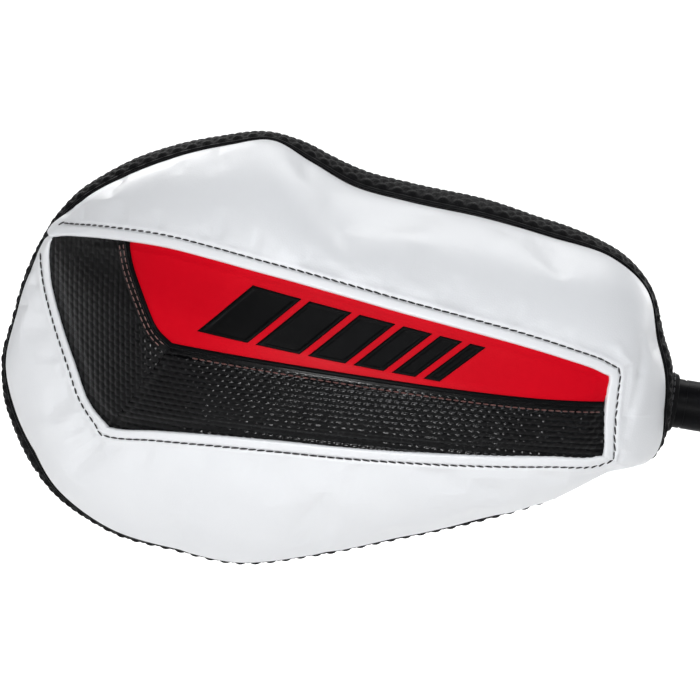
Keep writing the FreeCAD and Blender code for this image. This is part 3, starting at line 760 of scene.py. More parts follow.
# Name, place and target in metres, width and height, watts, colour, and spread in degrees.
LIGHTS = (
    ("key", (-0.22, -1.80, -0.13), MIDDLE, (0.45, 0.30), 2.9, WHITE, 80.0),
    ("high_fill", (-0.1, -1.4, 1.0), MIDDLE, (0.7, 0.3), 1.3, COOL, 80.0),
    ("left_strip", (-2.0, -0.25, 0.0), MIDDLE, (0.14, 0.8), 0.20, WHITE, 80.0),
    ("right_fill", (0.9, -0.9, 1.2), MIDDLE, (0.3, 0.6), 0.26, BLUE, 80.0),
    ("backdrop", (-0.19, 1.6, 2.0), UNDER_REAR, (2.6, 1.4), 46.0, WHITE, 110.0),
    ("rear_left", (-1.0, 1.7, 0.9), MIDDLE, (0.6, 0.6), 1.5, WHITE, 80.0),
    ("rear_right", (0.9, 1.5, 0.5), MIDDLE, (0.5, 0.5), 0.9, WHITE, 80.0),
    ("front_backdrop", (-0.19, -2.1, 2.2), UNDER_FRONT, (2.6, 0.8), 9.0, WHITE, 90.0),
)
WORLD_COLOUR = (0.95, 0.97, 1.0, 1.0)
WORLD_STRENGTH = 0.08


def light_studio():
    """The lights and a dim sky."""
    for light in LIGHTS:
        area_light(*light)
    world = bpy.data.worlds.new("studio")
    world.use_nodes = True
    background = world.node_tree.nodes["Background"]
    background.inputs["Color"].default_value = WORLD_COLOUR
    background.inputs["Strength"].default_value = WORLD_STRENGTH
    bpy.context.scene.world = world
    bpy.context.scene.view_settings.view_transform = "Standard"


FLOOR_REACH = 2300.0
SWEEP_RADIUS = 600.0
WALL_RISE = 2600.0


def studio_sweep():
    """Pale round floor that turns up into a wall all the way round."""
    look = Look("studio_paper", (0.88, 0.88, 0.88), 0.9)
    look.colours(look.noise(400.0, 2.0), (0.87, 0.87, 0.87), (0.89, 0.89, 0.89))
    angles = np.linspace(0, 2 * math.pi, 97)
    turn = np.linspace(0.15, math.pi / 2, 10)
    wall = FLOOR_REACH + SWEEP_RADIUS
    flat = [0.0, 900.0, 1800.0, FLOOR_REACH]
    radius = np.concatenate([flat, FLOOR_REACH + SWEEP_RADIUS * np.sin(turn), [wall, wall]])
    rise = np.concatenate([np.zeros(4), SWEEP_RADIUS * (1 - np.cos(turn)), [1600.0, WALL_RISE]])
    x = MIDDLE[0] / MM + radius[:, None] * np.cos(angles)
    y = radius[:, None] * np.sin(angles)
    z = FLOOR_Z + rise[:, None] + 0 * angles
    points = np.stack([x, y, z], axis=-1)
    faces = grid_faces(*points.shape[:2], flip=True)
    floor = make_mesh("studio_floor", points.reshape(-1, 3), faces, look.material)


# ---- white covers -------------------------------------------------------------------------------
STITCH_PITCH = 3.8
HEM_SHARE = 0.6          # the hem takes at most this share of a cover's width
EDGE_ROLL = 1.1
HEM_RISE = 0.55
EDGE_DEPTH = 1.2
SEAM_TUCK = 2.4
STITCH_RISE = 0.32
TOP_OVERLAP = 0.12       # ribs by which the upper cover laps over the lower one
# Soft folds in the covers: the line's ends in x and z, its half width and its height.
FOLDS = (
    ((-66.5, 34.0), (-65.0, 21.0), 2.0, -0.65),
    ((-65.0, 20.0), (-67.7, -7.0), 2.0, -0.65),
    ((-61.5, 30.0), (-62.0, 2.0), 3.8, 0.45),
    ((-71.8, 22.0), (-70.0, 2.0), 1.6, -0.5),
    ((-77.5, 30.5), (-71.5, 25.0), 2.0, 0.5),
    ((-292.0, -46.0), (-302.0, -62.0), 4.0, -0.9),
    ((-300.0, -38.0), (-316.0, -50.0), 5.0, 0.6),
    ((-88.0, 30.0), (-72.0, 44.0), 7.0, -0.8),
    ((-226.0, 50.0), (-231.0, 74.0), 9.0, 0.9),
    ((-205.0, 44.0), (-206.0, 66.0), 9.0, -1.0),
)
# The covers' cloth simulation: points per rib and across, frames, the most that a point moves, and the vinyl.
SIM_PER_RIB = 6
SIM_ROWS = 16
SIM_HELD = 0.75          # the hem is held over at most this share of a cover's width
SIM_FRAMES = 20
SIM_CAP = 2.2
VINYL = {
    "quality": 6,
    "mass": 0.25,
    "tension_stiffness": 40.0,
    "compression_stiffness": 25.0,
    "shear_stiffness": 12.0,
    "bending_stiffness": 6.0,
    "air_damping": 6.0,
    "shrink_min": -0.008,
    "use_pressure": True,
    "uniform_pressure_force": 2.5,
}


def run_share(share):
    """v at which a cover has run a share of its way from the frame to the seam."""
    v = np.linspace(0.0, 1.0, 401)
    return np.interp(share, bezier(v, *RUN_ACROSS), v)


def cover_width(t):
    """Width of a cover from the frame to the seam."""
    return np.linalg.norm(ring_points(SEAM_RIBS, t) - frame_points(t), axis=-1)


def stitch_distance(t):
    """Distance of the hem's stitches from the frame: less beside the narrow outboard edge."""
    narrow = smooth((t - 14.6) / 1.2) * (1 - smooth((t - 20.2) / 1.6))
    return 4.9 - 1.3 * narrow


def fold_height(x, z):
    """Height of the soft folds."""
    total = 0.0
    for start, end, width, height in FOLDS:
        path = np.array([start, end])
        total = total + height * np.exp(-((distance_to(path, x, z) / width) ** 2))
    return total


def simulated_puff():
    """Heights of the covers' free area by cloth simulation, held at the hem's stitches and at the seam."""
    t = np.linspace(0, COUNT, SIM_PER_RIB * COUNT + 1)[:-1]
    held = np.minimum(SIM_HELD, stitch_distance(t) / cover_width(t))
    rows = np.linspace(0, 1, SIM_ROWS)
    share = held[None, :] + (1 - held[None, :]) * rows[:, None]
    v = run_share(share)
    tt = np.broadcast_to(t, v.shape)
    points = cover_points(tt, v).reshape(-1, 3)
    normals = surface_normals(cover_points, tt, v).reshape(-1, 3)
    count = len(t)
    r, c = np.meshgrid(np.arange(SIM_ROWS - 1), np.arange(count), indexing="ij")
    a = (r * count + c).ravel()
    b = (r * count + (c + 1) % count).ravel()
    faces = np.stack([a, b, b + count, a + count], axis=-1)
    sheet = make_mesh("cover_simulation", points, faces[:, ::-1], LOOKS["white_vinyl"])
    middle = (SIM_ROWS // 2) * count
    normal = sheet.data.vertices[middle].normal
    if normal.dot(Vector(normals[middle])) < 0:
        sheet.data.flip_normals()
    pins = sheet.vertex_groups.new(name="held")
    for row in (0, SIM_ROWS - 1):
        pins.add(list(range(row * count, (row + 1) * count)), 1.0, "REPLACE")
    cloth = sheet.modifiers.new("cloth", "CLOTH")
    cloth.settings.vertex_group_mass = "held"
    cloth.settings.effector_weights.gravity = 0.0
    for setting, value in VINYL.items():
        setattr(cloth.settings, setting, value)
    cloth.point_cache.frame_end = SIM_FRAMES
    for number in range(1, SIM_FRAMES + 1):
        bpy.context.scene.frame_set(number)
    shown = sheet.evaluated_get(bpy.context.evaluated_depsgraph_get())
    moved = np.empty(len(points) * 3)
    shown.to_mesh().vertices.foreach_get("co", moved)
    shown.to_mesh_clear()
    bpy.context.scene.frame_set(1)
    bpy.data.objects.remove(sheet)
    height = ((moved.reshape(-1, 3) / MM - points) * normals).sum(axis=1).reshape(v.shape)
    return SIM_CAP * np.tanh(height / SIM_CAP)


# The simulated heights, by row and column.
PUFF = simulated_puff()


def puff_at(t, share):
    """Simulated height at rib numbers t and at shares of the way from the stitches to the seam."""
    column = (t % COUNT) * SIM_PER_RIB
    row = np.clip(share, 0, 1) * (SIM_ROWS - 1)
    c = np.floor(column).astype(int)
    r = np.minimum(np.floor(row).astype(int), SIM_ROWS - 2)
    fc = column - c
    fr = row - r
    wide = PUFF.shape[1]
    low = PUFF[r, c % wide] * (1 - fc) + PUFF[r, (c + 1) % wide] * fc
    high = PUFF[r + 1, c % wide] * (1 - fc) + PUFF[r + 1, (c + 1) % wide] * fc
    return low * (1 - fr) + high * fr


LINE_PER_RIB = 40
STITCH_T = np.linspace(0, COUNT, LINE_PER_RIB * COUNT + 1)
STITCH_SHARE = np.minimum(HEM_SHARE, stitch_distance(STITCH_T) / cover_width(STITCH_T))
STITCH_LINE = cover_points(STITCH_T, run_share(STITCH_SHARE))
STITCH_RUN = run_of(STITCH_LINE)


def cover_height(t, distance):
    """Height of the covers' face over their base surface, at distances from the frame."""
    width = cover_width(t)
    stitch = np.minimum(stitch_distance(t), HEM_SHARE * width)
    roll = EDGE_DEPTH * (np.sqrt(1 - (1 - np.clip(distance / EDGE_ROLL, 0, 1)) ** 2) - 1) + HEM_RISE
    beyond = np.clip(distance - stitch, 0, None)
    settle = HEM_RISE * smooth(beyond / 4.0)
    along = np.interp(t % COUNT, STITCH_T, STITCH_RUN)
    pull = 1 + 0.22 * np.cos(2 * math.pi * along / STITCH_PITCH)
    valley = 0.85 * pull * np.exp(-(((distance - stitch) / 0.8) ** 2))
    free = beyond / np.maximum(1.0, width - stitch)
    puff = puff_at(t, free) * smooth(beyond / 5.0)
    base = cover_points(t, run_share(np.clip(distance / width, 0, 1)))
    folds = fold_height(base[..., 0], base[..., 2]) * smooth(beyond / 5.0) * smooth((width - distance) / 6.0)
    left = np.clip((width - distance) / SEAM_TUCK, 0, 1)
    tuck = 1.0 * (1 - np.sqrt(1 - (1 - left) ** 2))
    ripple = 0.16 * wobble(along, distance, 34.0, 3) * smooth(beyond / 4.0)
    roomy = smooth((width - 4.0) / 10.0)
    return roll - settle - valley * (0.4 + 0.6 * roomy) + puff + folds + ripple - tuck * roomy


# Rows of the hem: closest at its rolled edge and on both sides of its stitches.
HEM_ROWS = np.array([
    0.0, 0.08, 0.2, 0.4, 0.65, 0.95, 1.4, 2.0, 2.7, 3.3, 3.7,
    4.0, 4.3, 4.6, 4.9, 5.2, 5.5, 5.9, 6.4, 7.2, 8.2, 9.5,
])


def cover_distances(width):
    """Rows of a cover: close together in the hem and at the seam."""
    squeeze = np.minimum(1.0, HEM_SHARE * width / HEM_ROWS[-1])
    hem = HEM_ROWS[:, None] * squeeze[None, :]
    start = hem[-1]
    rest = np.linspace(0, 1, 34)[1:]
    tail = np.array([0.6, 0.3, 0.1, 0.0])
    reach = width - SEAM_TUCK
    middle = start + (reach - start) * rest[:, None]
    end = width - SEAM_TUCK * tail[:, None]
    return np.concatenate([hem, middle, end])


COVER_PER_RIB = 22


def cover_sheet(name, t_low, t_high, lift):
    """A cover between two ribs; lift(t, distance) raises its ends where they overlap."""
    t = np.linspace(t_low, t_high, int((t_high - t_low) * COVER_PER_RIB) + 1)
    width = cover_width(t)
    distance = cover_distances(width)
    tt = np.broadcast_to(t, distance.shape)
    v = run_share(distance / width)
    height = cover_height(tt, distance) + lift(tt, distance)
    outer = raised(cover_points, tt, v, height)
    inner = raised(cover_points, tt, v, np.minimum(height - 0.9, -0.9))
    shell_piece(name, outer, inner, "white_vinyl")


def hem_only(distance):
    """1 on the hem and 0 beyond it."""
    return 1 - smooth((distance - 5.5) / 2.5)


def upper_lift(t, distance):
    """The upper cover's outboard end lies over the lower cover; its inboard tip only at the hem."""
    over = 0.8 * smooth((t - (TOP_LEFT - 1.0)) / 0.8)
    end_roll = -1.0 * (1 - np.sqrt(1 - (1 - np.clip((TOP_LEFT + TOP_OVERLAP - t) / 0.14, 0, 1)) ** 2))
    low_end = t - (BOTTOM_RIGHT - COUNT)
    tip = 0.55 * (1 - smooth((low_end - 0.25) / 0.5)) - 0.8 * (1 - smooth(low_end / 0.10))
    return over + end_roll + hem_only(distance) * tip


def lower_lift(t, distance):
    """The lower cover's ends lie under the upper cover's."""
    under = -0.9 * (1 - smooth((t - (TOP_LEFT + 0.10)) / 0.35))
    return under - 0.5 * hem_only(distance) * smooth((t - (BOTTOM_RIGHT - 0.25)) / 0.25)


def hem_line(t_low, t_high):
    """Line of the hem's stitches on a cover, between two ribs."""
    t = np.linspace(t_low, t_high, int((t_high - t_low) * LINE_PER_RIB) + 1)
    width = cover_width(t)
    away = np.minimum(stitch_distance(t), HEM_SHARE * width)
    return raised(cover_points, t, run_share(away / width), cover_height(t, away) + STITCH_RISE)


def covers():
    """The two white covers and the stitches of their hems."""
    cover_sheet("upper_cover", BOTTOM_RIGHT - COUNT, TOP_LEFT + TOP_OVERLAP, upper_lift)
    cover_sheet("lower_cover", TOP_LEFT - 0.2, BOTTOM_RIGHT, lower_lift)
    rows = [
        hem_line(BOTTOM_RIGHT - COUNT + 0.15, TOP_LEFT - 0.68),
        hem_line(TOP_LEFT + 0.85, BOTTOM_RIGHT - 0.07),
    ]
    stitching("cover_stitches", rows, BLACK_THREAD, "guard", STITCH_PITCH, 3.4, 0.38)


# ---- insert -------------------------------------------------------------------------------------
PANEL_UNDER = 1.6        # how far the panels run on under the hem
CELL_LONG = 3.6
CELL_WIDE = 2.4
CELL_RISE = 0.5
SIDE_TURN = math.radians(99.5)
LOWER_TURN = math.radians(3.0)
PANEL_CORNER = np.array([-0.8, 3.2])   # carries the side panel's top edge on under the hem


def inside(path, x, z):
    """Whether points of the XZ plane are inside a closed polyline."""
    found = np.zeros(np.shape(x), bool)
    for (ax, az), (bx, bz) in zip(path, np.roll(path, -1, axis=0)):
        crosses = (az > z) != (bz > z)
        if az != bz:
            found ^= crosses & (x < (bx - ax) * (z - az) / (bz - az) + ax)
    return found


def along_share(path, share):
    """Points at even shares of a polyline's length."""
    run = run_of(path)
    return np.stack([np.interp(np.asarray(share) * run[-1], run, path[:, k]) for k in range(2)], axis=-1)


def moved_aside(path, distance):
    """A polyline moved sideways, to its left as it is walked."""
    ahead = np.gradient(path, axis=0)
    ahead /= np.linalg.norm(ahead, axis=1, keepdims=True)
    return path + np.stack([-ahead[:, 1], ahead[:, 0]], axis=-1) * distance


def frame_run(t_low, t_high, inset, count=60):
    """Stretch of the frame's edge, moved inwards."""
    t = np.linspace(t_low, t_high, count)
    return frame_points(t) - outward(FRAME_RIBS, t) * inset


def frame_distance(x, z):
    """Distance inwards from the insert's edge, and 0 outside it."""
    return np.where(inside(FRAME_PATH, x, z), distance_to(FRAME_PATH, x, z), 0.0)


def panel_points(x, z, rise):
    """Points on the insert; outside its edge they dive under the hem."""
    height = np.where(inside(FRAME_PATH, x, z), insert_height(x, z), -1.6 * distance_to(FRAME_PATH, x, z))
    return np.stack([x, front_y(x) + 1.0 - height - rise, z], axis=-1)


def woven_cells(x, z, turn):
    """Embossed cells in staggered rows, longer along turn: crowned bars with a narrow groove between them."""
    long = x * math.cos(turn) + z * math.sin(turn)
    wide = -x * math.sin(turn) + z * math.cos(turn)
    row = np.floor(wide / CELL_WIDE)
    place = long / CELL_LONG + 0.5 * (row % 2)
    a = 2 * (place - np.floor(place)) - 1
    b = 2 * (wide / CELL_WIDE - row) - 1
    return (1 - np.abs(a) ** 3.5) * (1 - np.abs(b) ** 2.4) * (1 + 0.3 * a * b)


def ruled_grid(low, high, columns, rows):
    """Grids of x and of z between two polylines."""
    s = np.linspace(0, 1, columns)
    r = np.linspace(0, 1, rows)[:, None, None]
    return np.moveaxis(along_share(low, s)[None] * (1 - r) + along_share(high, s)[None] * r, -1, 0)


def panel(name, low, high, steps, rise, slot):
    """Panel of the insert between two polylines, with a relief of rise(x, z); steps are along and across."""
    length = max(run_of(low)[-1], run_of(high)[-1])
    places = np.linspace(0, 1, 9)
    reach = np.linalg.norm(along_share(low, places) - along_share(high, places), axis=1)
    x, z = ruled_grid(low, high, int(length / steps[0]), int(reach.max() / steps[1]))
    outer = panel_points(x, z, rise(x, z))
    inner = panel_points(x, z, -1.0 + 0 * x)
    shell_piece(name, outer, inner, slot)


def smooth_rise(x, z):
    """The coloured panel: pulled tight, a little sunk along its edges, with slow waves."""
    edge = np.minimum(distance_to(RIDGE_PATH, x, z), frame_distance(x, z))
    return 0.25 * smooth(edge / 5.0) + 0.12 * wobble(x, z, 46.0, 5)


CORNER_PATH = np.array([RIDGE[RIDGE_CORNER], FRAME_RIBS[22]])


def corner_valley(x, z):
    """The crease where the side and the lower panel meet."""
    return -1.1 * np.exp(-((distance_to(CORNER_PATH, x, z) / 3.2) ** 2))


def side_rise(x, z):
    """Cells of the side panel, flatter towards its top, with the seam band along the ridge left plain."""
    ridge = distance_to(RIDGE_PATH, x, z)
    plain = smooth((ridge - 4.6) / 0.8)
    upper = smooth((30.0 - z - 0.35 * (x + 300.0)) / 14.0)
    band = 0.35 * (1 - smooth((ridge - 4.0) / 0.8))
    cells = CELL_RISE * (0.35 + 0.65 * upper) * woven_cells(x, z, SIDE_TURN)
    return plain * cells + band + corner_valley(x, z) + 0.18 * wobble(x, z, 24.0, 7)


def lower_rise(x, z):
    """Cells of the lower panel, with the puckers that its stitches pull into it."""
    ridge = distance_to(RIDGE_PATH, x, z)
    edge = frame_distance(x, z)
    plain = smooth((ridge - 2.0) / 1.2)
    gather = np.exp(-((edge - 9.0) / 8.0) ** 2)
    pucker = 0.55 * gather * wobble(x, z * 0.25, 11.0, 2) * smooth((x + 275.0) / 25.0)
    stitch = -0.45 * np.exp(-(((ridge - 3.6) / 0.8) ** 2))
    cells = CELL_RISE * woven_cells(x, z, LOWER_TURN)
    return plain * cells + pucker + stitch + corner_valley(x, z) + 0.2 * wobble(x, z, 31.0, 9)


def insert_panels():
    """The coloured panel over the ridge, and the two textured ones beside and below it."""
    steep = np.vstack([RIDGE_PATH[:1] + PANEL_CORNER, RIDGE_PATH[:RIDGE_TURN + 1]])
    level = RIDGE_PATH[RIDGE_TURN:]
    top = frame_run(RIDGE_TOP - 0.12, TOP_RIGHT - 0.2, -PANEL_UNDER)
    left = frame_run(TOP_LEFT + 0.3, BOTTOM_LEFT + 0.12, -PANEL_UNDER)
    left = np.vstack([left[:1] + PANEL_CORNER * (0.6, 1.6), left])
    bottom = frame_run(BOTTOM_LEFT, BOTTOM_RIGHT + 1.2, -PANEL_UNDER)
    above = moved_aside(RIDGE_PATH, 0.2)[2:]
    panel("colour_panel", above, top, (0.7, 0.6), smooth_rise, "red_vinyl")
    panel("textured_side_panel", left, moved_aside(steep, -0.2), (0.5, 0.28), side_rise, "textured_vinyl")
    panel("textured_lower_panel", bottom, moved_aside(level, -0.2), (0.6, 0.36), lower_rise, "textured_vinyl")


def ridge_line(aside, rise, first=0, last=None):
    """Line along the ridge, moved aside and raised over the panels."""
    path = moved_aside(RIDGE_PATH, aside)[first:last]
    dense = along_share(path, np.linspace(0, 1, 240))
    return panel_points(dense[:, 0], dense[:, 1], rise)


def ridge_trim():
    """The piping between the panels, one row of stitches along its level run and two along its leg."""
    solid_piece("panel_piping", *tube(ridge_line(0.0, 0.25), 1.05, sides=14), "black_piping")
    level = [ridge_line(-3.6, 0.15, RIDGE_TURN + 2)]
    stitching("ridge_stitches", level, RED_THREAD, "guard", 3.2, 2.3, 0.34)
    leg = [ridge_line(-1.9, 0.55, 0, RIDGE_TURN - 1), ridge_line(-3.7, 0.50, 0, RIDGE_TURN - 1)]
    stitching("leg_stitches", leg, PALE_THREAD, "guard", 3.2, 2.3, 0.24)


# ---- emblem -------------------------------------------------------------------------------------
EMBLEM_WIDTHS = (22.0, 19.0, 16.0, 13.0, 10.0, 7.0)
EMBLEM_SPACE = 3.5
EMBLEM_BOTTOM = np.array([(-254.0, 10.3), (-150.0, 6.9)])
EMBLEM_TOP = np.array([(-234.0, 33.0), (-133.0, 23.5)])
EMBLEM_RISE = 1.6


def emblem():
    """Plain slanted bars that narrow towards the inboard end, moulded with a raised rim and a sunk face."""
    total = sum(EMBLEM_WIDTHS) + EMBLEM_SPACE * (len(EMBLEM_WIDTHS) - 1)
    border = np.array([0.0, 0.0, 0.12, 0.35, 0.7, 1.1, 1.5, 1.9, 2.3])
    start = 0.0
    parts = []
    for width in EMBLEM_WIDTHS:
        ends = np.array([start, start + width]) / total
        low = EMBLEM_BOTTOM[0] + (EMBLEM_BOTTOM[1] - EMBLEM_BOTTOM[0]) * ends[:, None]
        high = EMBLEM_TOP[0] + (EMBLEM_TOP[1] - EMBLEM_TOP[0]) * ends[:, None]
        across = np.concatenate([border, np.linspace(2.8, width - 2.8, 14), width - border[::-1]]) / width
        tall = np.linalg.norm(high[0] - low[0])
        upward = np.concatenate([border, np.linspace(2.8, tall - 2.8, 26), tall - border[::-1]]) / tall
        a, b = np.meshgrid(across, upward)
        lower = low[0] + (low[1] - low[0]) * a[..., None]
        upper = high[0] + (high[1] - high[0]) * a[..., None]
        flat = lower + (upper - lower) * b[..., None]
        edge = np.minimum(np.minimum(a, 1 - a) * width * 0.8, np.minimum(b, 1 - b) * tall)
        bevel = np.sqrt(1 - (1 - np.clip(edge / 0.7, 0, 1)) ** 2)
        rise = 0.5 + (EMBLEM_RISE - 0.9) * bevel - 0.35 * smooth((edge - 1.4) / 0.6)
        rise[[0, -1], :] = -0.6
        rise[:, [0, -1]] = -0.6
        outer = panel_points(flat[..., 0], flat[..., 1], rise)
        inner = panel_points(flat[..., 0], flat[..., 1], -0.7 + 0 * rise)
        parts.append(shell(outer, inner))
        start += width + EMBLEM_SPACE
    solid_piece("emblem", *join_parts(parts), "emblem_rubber")


# ---- gussets and what is sewn to them -----------------------------------------------------------
DIAMOND = 6.8
DIAMOND_RISE = 1.6
GUSSET_STEP = 0.85
GUSSET_START = -33.4
CUFF_INNER = 11.35
CUFF_OUTER = 13.25
CUFF_X = (-54.0, -41.0)
CUFF_FACE = -49.0        # x where the collar leaves the gusset
HOLE_RADIUS = 13.45
RIB_SPACE = 22.0         # about the distance between two ribs, for waves that run along the gussets


def y_share(y):
    """A gusset's w at a y."""
    return (y - SEAM_Y) / (OPENING_Y - SEAM_Y)


RIM_T = np.linspace(0, COUNT, 30 * COUNT + 1)
RIM_LINE = gusset_points(RIM_T, np.full(RIM_T.shape, 0.3))
RIM_RUN = run_of(RIM_LINE)


def diamonds(t, y):
    """Embossed diamonds: sharp grooves between domed cells, flat bands along the edges."""
    along = np.interp(t % COUNT, RIM_T, RIM_RUN)
    a = (along + y) / DIAMOND
    b = (along - y) / DIAMOND
    fa = np.abs(2 * (a - np.floor(a)) - 1)
    fb = np.abs(2 * (b - np.floor(b)) - 1)
    dome = (1 - fa**2.5) * (1 - fb**2.5)
    band = smooth((y - GUSSET_START - 0.4) / 1.2) * smooth((OPENING_Y - 4.0 - y) / 1.5)
    return DIAMOND_RISE * (dome**0.6 * band) - 0.35


def gusset_sheet(name, t_low, t_high, with_hole=False):
    """A gusset between two ribs; the inboard one has the bar's hole and slit, and is flat under its patch."""
    reach = np.interp([t_low % COUNT, t_high % COUNT], RIM_T, RIM_RUN)
    length = (reach[1] - reach[0]) % RIM_RUN[-1]
    t = np.linspace(t_low, t_high, int(length / GUSSET_STEP) + 1)
    if with_hole:
        z = ring_points(SEAM_RIBS, t)[:, 1]
        for side in (-SLIT / 2, SLIT / 2):
            exact = np.interp(side, z, t)
            t[np.argmin(np.abs(t - exact))] = exact
    y = np.linspace(GUSSET_START, OPENING_Y, int((OPENING_Y - GUSSET_START) / GUSSET_STEP) + 1)
    tt, yy = np.meshgrid(t, y)
    w = y_share(yy)
    ends = np.minimum(tt - t_low, t_high - tt)
    join = -0.9 * (1 - smooth(ends / 0.05))
    rise = diamonds(tt, yy) + join + 0.25 * wobble(tt * RIB_SPACE, yy, 40.0, 4)
    if with_hole:
        pressed = np.minimum(tt - TAB_BOTTOM + 0.15, PATCH_TOP + 0.15 - tt) / 0.15
        pressed = smooth(pressed) * smooth(np.minimum(yy - TAB_Y[0] + 1.0, TAB_Y[1] + 1.0 - yy) / 1.0)
        rise = rise * (1 - pressed) - 0.3 * pressed
    outer = raised(gusset_points, tt, w, rise)
    inner = raised(gusset_points, tt, w, -GUSSET + 0.1 * wobble(tt * RIB_SPACE, yy, 15.0, 6))
    keep = None
    if with_hole:
        for grid in (outer, inner):
            radius = np.hypot(grid[..., 1], grid[..., 2])
            near = np.abs(radius - HOLE_RADIUS) < 0.62 * GUSSET_STEP
            scale = np.where(near, HOLE_RADIUS / np.maximum(radius, 1.0), 1.0)
            grid[..., 1] *= scale
            grid[..., 2] *= scale
        middle = (outer[:-1, :-1] + outer[1:, 1:]) / 2
        in_hole = np.hypot(middle[..., 1], middle[..., 2]) < HOLE_RADIUS - 0.05
        in_slit = (middle[..., 1] > 0) & (np.abs(middle[..., 2]) < SLIT / 2)
        keep = ~(in_hole | in_slit)
    shell_piece(name, outer, inner, "embossed_fabric", keep=keep)


def gussets():
    """The four gussets, which meet at the frame's corners."""
    gusset_sheet("gusset_top", TOP_RIGHT, TOP_LEFT)
    gusset_sheet("gusset_outboard", TOP_LEFT, BOTTOM_LEFT)
    gusset_sheet("gusset_bottom", BOTTOM_LEFT, BOTTOM_RIGHT)
    gusset_sheet("gusset_inboard", BOTTOM_RIGHT - COUNT, TOP_RIGHT, with_hole=True)


def seam_piping():
    """Round cord in the seam between the covers and the gussets."""
    t = np.linspace(0, COUNT, 14 * COUNT + 1)[:-1]
    line = raised(gusset_points, t, np.full(t.shape, y_share(SEAM_Y + 1.0)), np.full(t.shape, -0.85))
    solid_piece("seam_piping", *tube(line, 0.95, sides=12, closed=True), "black_piping")


def opening_binding():
    """Tape folded over the rim of the open back, with a stitched edge."""
    thick = 0.95
    outside = 0.35                  # height of the tape's inner face outside the gusset
    hand_side = -GUSSET - 0.25      # and on the hand's side
    reach = 5.0                     # of the tape from the rim
    outer = [(OPENING_Y - reach, outside), (OPENING_Y - reach + 0.3, outside + thick * 0.8)]
    outer += [(OPENING_Y - share * reach, outside + thick) for share in (0.8, 0.6, 0.4, 0.2)]
    middle = (outside + hand_side) / 2
    half = (outside - hand_side) / 2
    angles = np.linspace(0, math.pi, 9)
    outer += [(OPENING_Y + 0.2 + 1.0 * math.sin(a), middle + (half + thick) * math.cos(a)) for a in angles]
    outer += [(OPENING_Y - share * reach, hand_side - thick) for share in (0.2, 0.4, 0.6, 0.8)]
    outer += [(OPENING_Y - reach + 0.3, hand_side - thick * 0.8), (OPENING_Y - reach, hand_side)]
    inner = [(OPENING_Y - 1.0, hand_side), (OPENING_Y + 0.15, middle - half * 0.8)]
    inner += [(OPENING_Y + 0.15, middle + half * 0.8), (OPENING_Y - 1.0, outside)]
    t = np.linspace(0.12, COUNT - 0.12, 14 * COUNT)
    section = np.broadcast_to(np.array(outer + inner), (len(t), len(outer + inner), 2)).copy()
    wave = 0.14 * np.sin(t * 9.0) + 0.10 * np.sin(t * 23.0)
    section[:, :6, 1] += wave[:, None] * 0.5
    section[:, :1, 0] += wave[:, None]
    tt = np.broadcast_to(t[:, None], section.shape[:2])
    rings = raised(gusset_points, tt, y_share(section[..., 0]), section[..., 1])
    solid_piece("opening_binding", rings.reshape(-1, 3), loft_faces(*section.shape[:2]), "binding_tape")
    t = np.linspace(0.2, COUNT - 0.2, 30 * COUNT)
    share = np.full(t.shape, y_share(OPENING_Y - reach + 1.0))
    heights = (outside + thick + 0.12, hand_side - thick - 0.12)
    rows = [raised(gusset_points, t, share, np.full(t.shape, height)) for height in heights]
    stitching("binding_stitches", rows, GREY_THREAD, "guard", 4.2, 3.3, 0.30)


def bar_cuff():
    """Neoprene collar round the bar, flared where it meets the gusset, slit on the hand side."""
    outer, inner = CUFF_X
    x, radius = np.array([
        (outer, CUFF_INNER + 0.1), (outer, CUFF_OUTER - 0.5),
        (outer + 0.6, CUFF_OUTER), (CUFF_FACE + 1.4, CUFF_OUTER),
        (CUFF_FACE + 2.6, CUFF_OUTER + 0.5), (CUFF_FACE + 3.4, CUFF_OUTER + 0.6),
        (CUFF_FACE + 3.9, CUFF_OUTER + 0.4), (CUFF_FACE + 4.2, CUFF_OUTER + 0.1),
        (inner - 1.2, CUFF_OUTER - 0.15), (inner - 0.3, CUFF_OUTER - 0.4),
        (inner, CUFF_OUTER - 0.9), (inner - 0.1, CUFF_INNER + 0.3),
        (inner - 0.8, CUFF_INNER), (outer + 1.0, CUFF_INNER),
    ]).T
    gap = math.asin(SLIT / 2 / CUFF_OUTER)
    angles = np.linspace(gap, 2 * math.pi - gap, 121)
    ripple = 1 + 0.006 * np.sin(angles * 11)[:, None] * (radius > CUFF_OUTER - 1)
    rings = np.stack([
        np.broadcast_to(x, (len(angles), len(x))),
        radius * ripple * np.cos(angles)[:, None],
        radius * ripple * np.sin(angles)[:, None],
    ], axis=-1)
    solid_piece("bar_cuff", rings.reshape(-1, 3), loft_faces(len(angles), len(x)), "cuff_fabric")
    around = np.linspace(gap + 0.12, 2 * math.pi - gap - 0.12, 200)
    rows = []
    for at, reach in ((inner - 2.4, CUFF_OUTER + 0.18), (CUFF_FACE + 3.0, CUFF_OUTER + 0.75)):
        place = np.full(around.shape, at)
        rows.append(np.stack([place, reach * np.cos(around), reach * np.sin(around)], axis=-1))
    stitching("cuff_stitches", rows, GREY_THREAD, "guard", 3.4, 2.5, 0.26)


# ---- closure tab --------------------------------------------------------------------------------
TAB_Y = (13.5, 24.5)
TAB_TOP = 1.35
TAB_BOTTOM = -1.25
PATCH_TOP = -0.35
TAB_INSET = 1.3          # of the stitches from the tab's edges


